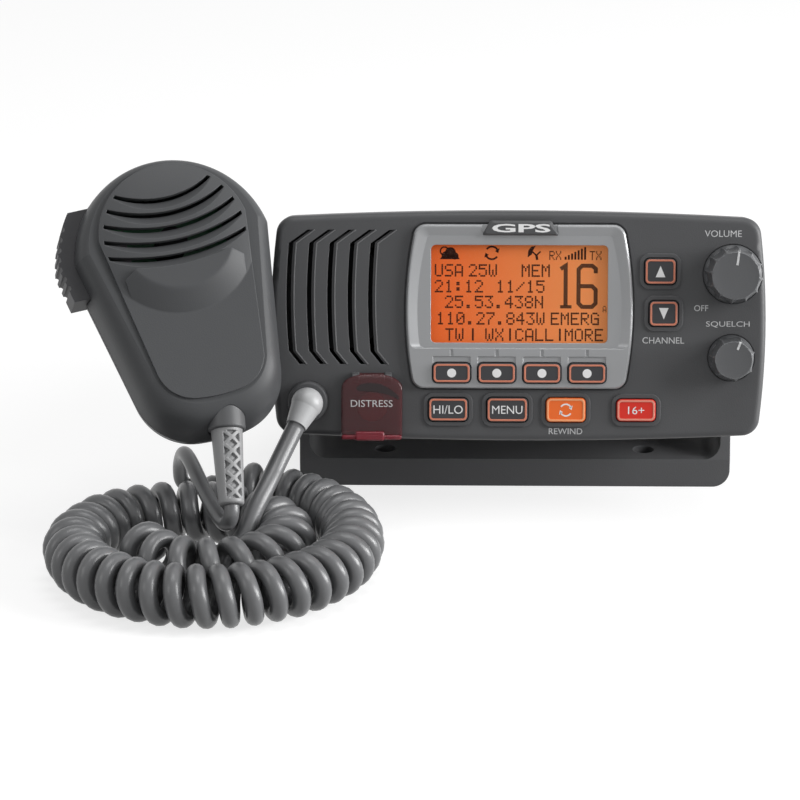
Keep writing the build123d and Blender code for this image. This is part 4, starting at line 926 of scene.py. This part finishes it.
def makeHood():
    front, wall = hood["front"], hood["wall"]
    loops = [hoodLoop(wall, hood["inner"]), hoodLoop(wall, None), hoodLoop(0, None)]
    loops += [hoodLoop(inset, front + back) for inset, back in hood["edge"]]
    piece = loopsMesh("distressHood", loops, onRadio)
    dress(piece, "coverRed", "distress_lid", "distress_cover", hood["sharp"])
    depth, height = hood["axis"]
    along = hood["x"] + np.linspace(-hood["barrelHalf"], hood["barrelHalf"], hood["barrelPoints"])
    line = np.stack([along, np.full_like(along, depth), np.full_like(along, height)], 1)
    piece = tubeMesh("distressKnuckle", onRadio(line), hood["barrel"] / 1000, hood["barrelAround"])
    dress(piece, "coverRed", "distress_lid", sharp=hood["barrelSharp"])
    bevel = hoodLip["bevel"]
    # the lips take a paler red than the cover: painted highlight where they catch the light
    for name, (left, right, low, high, proud) in hoodLips.items():
        x, z = (left + right) / 2 + hood["x"], (low + high) / 2
        loops = [[(px, front + back, pz)
                  for px, pz in roundedLoop(x, z, right - left - 2 * inset, high - low - 2 * inset,
                                            hoodLip["corner"] - inset * hoodLip["cornerCut"])]
                 for inset, back in ((0, hoodLip["sunk"]), (0, bevel - proud), (bevel, -proud))]
        dress(loopsMesh(name, loops, onRadio), "coverLipHighlight", "distress_lid", sharp=hood["sharp"])
    # the dark band under the arch is painted shade, standing for the roof's shadow
    count = len(hoodPaintedShade["upper"])
    faces = [[i, i + 1, count + i + 1, count + i] for i in range(count - 1)]
    mark("distressPaintedShade", "distress_lid", "coverPaintedShade",
         [(hoodPaintedShade["lower"] + hoodPaintedShade["upper"], faces)], front, hoodPaintedShade["thick"])


makeHood()

# the relief sleeve under the microphone
sleeve = {
    "top": -5.2, "end": -31.0, "topRadius": 5.2, "endRadius": 4.15, "around": 168, "along": 230,
    "turn": 10.0, "half": 3.0, "first": -6.9, "pitch": 4.5, "cellWide": 6.0, "depth": 1.25,
    "ribDepth": 0.18, "rib": 0.15, "edge": 0.055, "rows": 5,
    # the rounding of its end, the soft border of its window and the turn kept sharp; the columns
    # stand at pi x (even x t + gathered x t^3), t from -1 to 1, so that most are in the window
    "rounding": 0.9, "border": 0.25, "sharp": 50, "even": 0.32, "gathered": 0.68,
}


def makeSleeve():
    # a tapered sleeve over angle and height: inside its window it is pressed in, except where the
    # distance to a diagonal of the diamond pattern is less than half a rib
    s = sleeve
    spread = np.linspace(-1, 1, s["around"], endpoint=False)
    angle = math.pi * (s["even"] * spread + s["gathered"] * spread ** 3)
    z = np.linspace(s["top"], s["end"], s["along"])
    radius = np.interp(z, [s["end"], s["top"]], [s["endRadius"], s["topRadius"]])
    rounding = np.clip((s["end"] + s["rounding"] - z) / s["rounding"], 0, 1)
    radius = radius - s["rounding"] * (1 - np.sqrt(1 - rounding ** 2))
    across = angle[None] * radius[:, None]
    u = (z[:, None] - s["first"]) / s["pitch"]
    v = across / s["cellWide"]
    away = np.minimum(np.abs((u + v) % 1 - 0.5), np.abs((u - v) % 1 - 0.5))
    low = s["first"] - s["rows"] * s["pitch"]
    inside = 1.0
    for distance in (s["half"] - np.abs(across), s["first"] - z[:, None], z[:, None] - low):
        inside = inside * np.clip(distance / s["border"], 0, 1)
    deep = s["ribDepth"] + (s["depth"] - s["ribDepth"]) * smoothStep((away - s["rib"]) / s["edge"])
    reach = radius[:, None] - inside * deep
    turned = angle[None] + math.radians(s["turn"])
    loops = np.stack([reach * np.sin(turned), -reach * np.cos(turned),
                      np.broadcast_to(z[:, None], reach.shape)], -1)
    piece = loopsMesh("reliefSleeve", loops, onRelief)
    dress(piece, "reliefGrey", "handset", "cord_relief", s["sharp"])


makeSleeve()

# the microphone's chin below its louvres, and the grille's edges
chin = {
    # radii from the dome's middle, depths on the body; the lowest louvre is a circle above the dome
    "middle": 66.1, "louvreMiddle": 58.7, "louvreRadius": 69.6, "flatRadius": 18.8, "outRadius": 26.3,
    "top": -19.6, "face": -15.6, "span": 60.0, "power": 1.12,
    "sideHalf": 15.7, "sideLow": 10.8, "sideGrow": 0.1014,
    # how far behind the face each border ends: the inner one, under the louvre, stays before it
    "innerSunk": -0.8, "outerSunk": 0.4, "around": 73, "along": 26, "sharp": 30,
}


def makeChin():
    # around the dome's lower half: flat from the louvre's edge out to the flat radius, then a flank
    # that falls to the face with a power of its share, and ends early where the face's side cuts it
    c = chin
    angle = np.radians(np.linspace(-c["span"], c["span"], c["around"]))
    sine, cosine = np.sin(angle), np.cos(angle)
    near = -c["louvreMiddle"] * cosine + np.sqrt(c["louvreRadius"] ** 2 - (c["louvreMiddle"] * sine) ** 2)
    # the side line: half width grows with height, so the ray meets it at side over its own lean
    side = c["sideHalf"] + c["sideGrow"] * (c["middle"] - c["sideLow"])
    far = np.minimum(c["outRadius"], side / (np.abs(sine) + c["sideGrow"] * cosine))
    share = np.linspace(0, 1, c["along"])
    r = near[:, None] + (far - near)[:, None] * share
    fall = np.clip((r - c["flatRadius"]) / (c["outRadius"] - c["flatRadius"]), 0, 1) ** c["power"]
    y = c["top"] + (c["face"] - c["top"]) * fall
    r = np.concatenate([r[:, :1], r, r[:, -1:]], 1)
    sunk = [np.full_like(r[:, :1], c["face"] + c[border]) for border in ("innerSunk", "outerSunk")]
    y = np.concatenate([sunk[0], y, sunk[1]], 1)
    loops = np.stack([r * sine[:, None], y, c["middle"] - r * cosine[:, None]], -1)
    piece = loopsMesh("domeChin", loops, onHandset)
    dress(piece, "handsetPlastic", "handset", sharp=c["sharp"])


grille = {
    # the slots' first middle, pitch, half width, top and bottom, the two bends, lean and bulge
    "first": -75.3, "pitch": 6.8, "half": 1.15, "top": 31.9, "low": -12.9, "bendTop": 27.4, "bendLow": -8.5,
    "leanTop": 6.2, "leanLow": 3.6, "bulge": 0.8, "slots": 5, "points": 13,
    # the pale bead on each slot's right edge, a painted highlight, and the step inside it: width and thickness
    "bead": 0.42, "beadProud": 0.12, "step": 0.8, "stepBack": -55.5, "stepThick": 0.8,
}


def slotEdge(index, out):
    # the right edge of one slot, moved out by a distance: a bowed run between two leaning ends
    g = grille
    x = g["first"] + index * g["pitch"] + g["half"] + out
    z = np.linspace(g["bendTop"], g["bendLow"], g["points"])
    middle, reach = (g["bendTop"] + g["bendLow"]) / 2, (g["bendTop"] - g["bendLow"]) / 2
    bow = x - g["bulge"] * (1 - ((z - middle) / reach) ** 2)
    return [(x + g["leanTop"], g["top"]), *zip(bow, z), (x + g["leanLow"], g["low"])]


def makeGrille():
    g = grille
    beads, steps = ([stroke(slotEdge(i, out * g[band] / 2), g[band]) for i in range(g["slots"])]
                    for band, out in (("bead", 1), ("step", -1)))
    # the beads' pale grey is a painted highlight along each slot's right edge
    mark("grilleHighlightBeads", "radio", "paintedHighlightGrey", beads, radioPlace["face"], g["beadProud"])
    mark("grilleSteps", "radio", "panelPlastic", steps, g["stepBack"], g["stepThick"])


makeChin()
makeGrille()
print("knobs, badge, cover, relief, chin and grille made")

# print on the panel, the keys, the knobs and the cover
panelWords = [
    # words, middle x and z, width and height of the letters
    ("VOLUME", 67.9, 31.1, 12.3, 2.2), ("OFF", 60.8, 6.3, 4.7, 2.0), ("SQUELCH", 69.7, 0.9, 14.5, 2.1),
    ("CHANNEL", 48.3, -4.5, 13.9, 2.1), ("REWIND", 16.0, -35.0, 11.2, 2.0),
]
keys = {
    # name: (middle x, z, width, height, depth of the face, outline's look)
    "power_level_key": (-23.2, -27.8, 13.1, 7.8, -58.4, "keyOutline"),
    "menu_key": (-3.5, -27.8, 13.6, 8.1, -58.4, "keyOutline"),
    "rewind_key": (16.0, -27.8, 13.1, 8.1, -58.4, "outlineOrange"),
    "channel_16_key": (39.4, -27.8, 13.0, 7.4, -58.4, "outlineRed"),
    "channel_up_key": (47.1, 18.5, 10.4, 8.6, -58.4, "keyOutline"),
    "channel_down_key": (48.3, 4.5, 9.6, 8.5, -58.4, "keyOutline"),
    **{f"soft_key_{i + 1}": (-22.1 + 15.0 * i, -15.4, 12.5, 6.6, -60.8, "keyOutline") for i in range(4)},
}
keyMark = {"inset": 0.30, "band": 0.62, "corner": 1.30, "proud": 0.16, "print": 0.04}
keyWords = {
    # name: words, their width and height
    "power_level_key": ("HI/LO", 9.8, 2.8), "menu_key": ("MENU", 10.1, 2.7),
    "channel_16_key": ("16+", 5.4, 2.6),
}
keyArrow = {"half": 1.6, "reach": 1.9}
keyDot = 1.5
badgeWords = ("GPS", 0.75, 32.75, 19.4, 2.8, 0.026)
coverWords = ("DISTRESS", -48.6, -25.6, 13.9, 2.3)
printThick = 0.03


def keySymbol(name, x, z):
    if name in keyWords:
        words, width, height = keyWords[name]
        return [textShape(words, x, z, width, height)]
    if name == "rewind_key":
        return turnArrows(x, z, *rewindArrows)
    if name.startswith("channel"):
        # a triangle that points up, or the same one upside down
        up = 1 if name == "channel_up_key" else -1
        half, reach = keyArrow["half"] * up, keyArrow["reach"] * up
        return [polygon([(x - half, z - reach), (x + half, z - reach), (x, z + reach)])]
    return [disc(x, z, keyDot)]


def makePrint():
    mark("panelPrint", "radio", "printGrey", [textShape(*row) for row in panelWords],
         radioPlace["face"], printThick)
    mark("badgePrint", "radio", "printWhite", [textShape(*badgeWords)], badge["front"],
         printThick)
    for name, (x, z, width, height, y, look) in keys.items():
        inset = 2 * keyMark["inset"]
        ring = outline(x, z, width - inset, height - inset, keyMark["corner"], keyMark["band"])
        mark(name + "Outline", name + "_cap", look, [ring], y, keyMark["proud"])
        mark(name + "Print", name + "_cap", "printWhite", keySymbol(name, x, z), y,
             keyMark["print"])
    mark("distressPrint", "distress_lid", "printGrey", [textShape(*coverWords)],
         hood["front"], printThick)


makePrint()
print("display and print made")
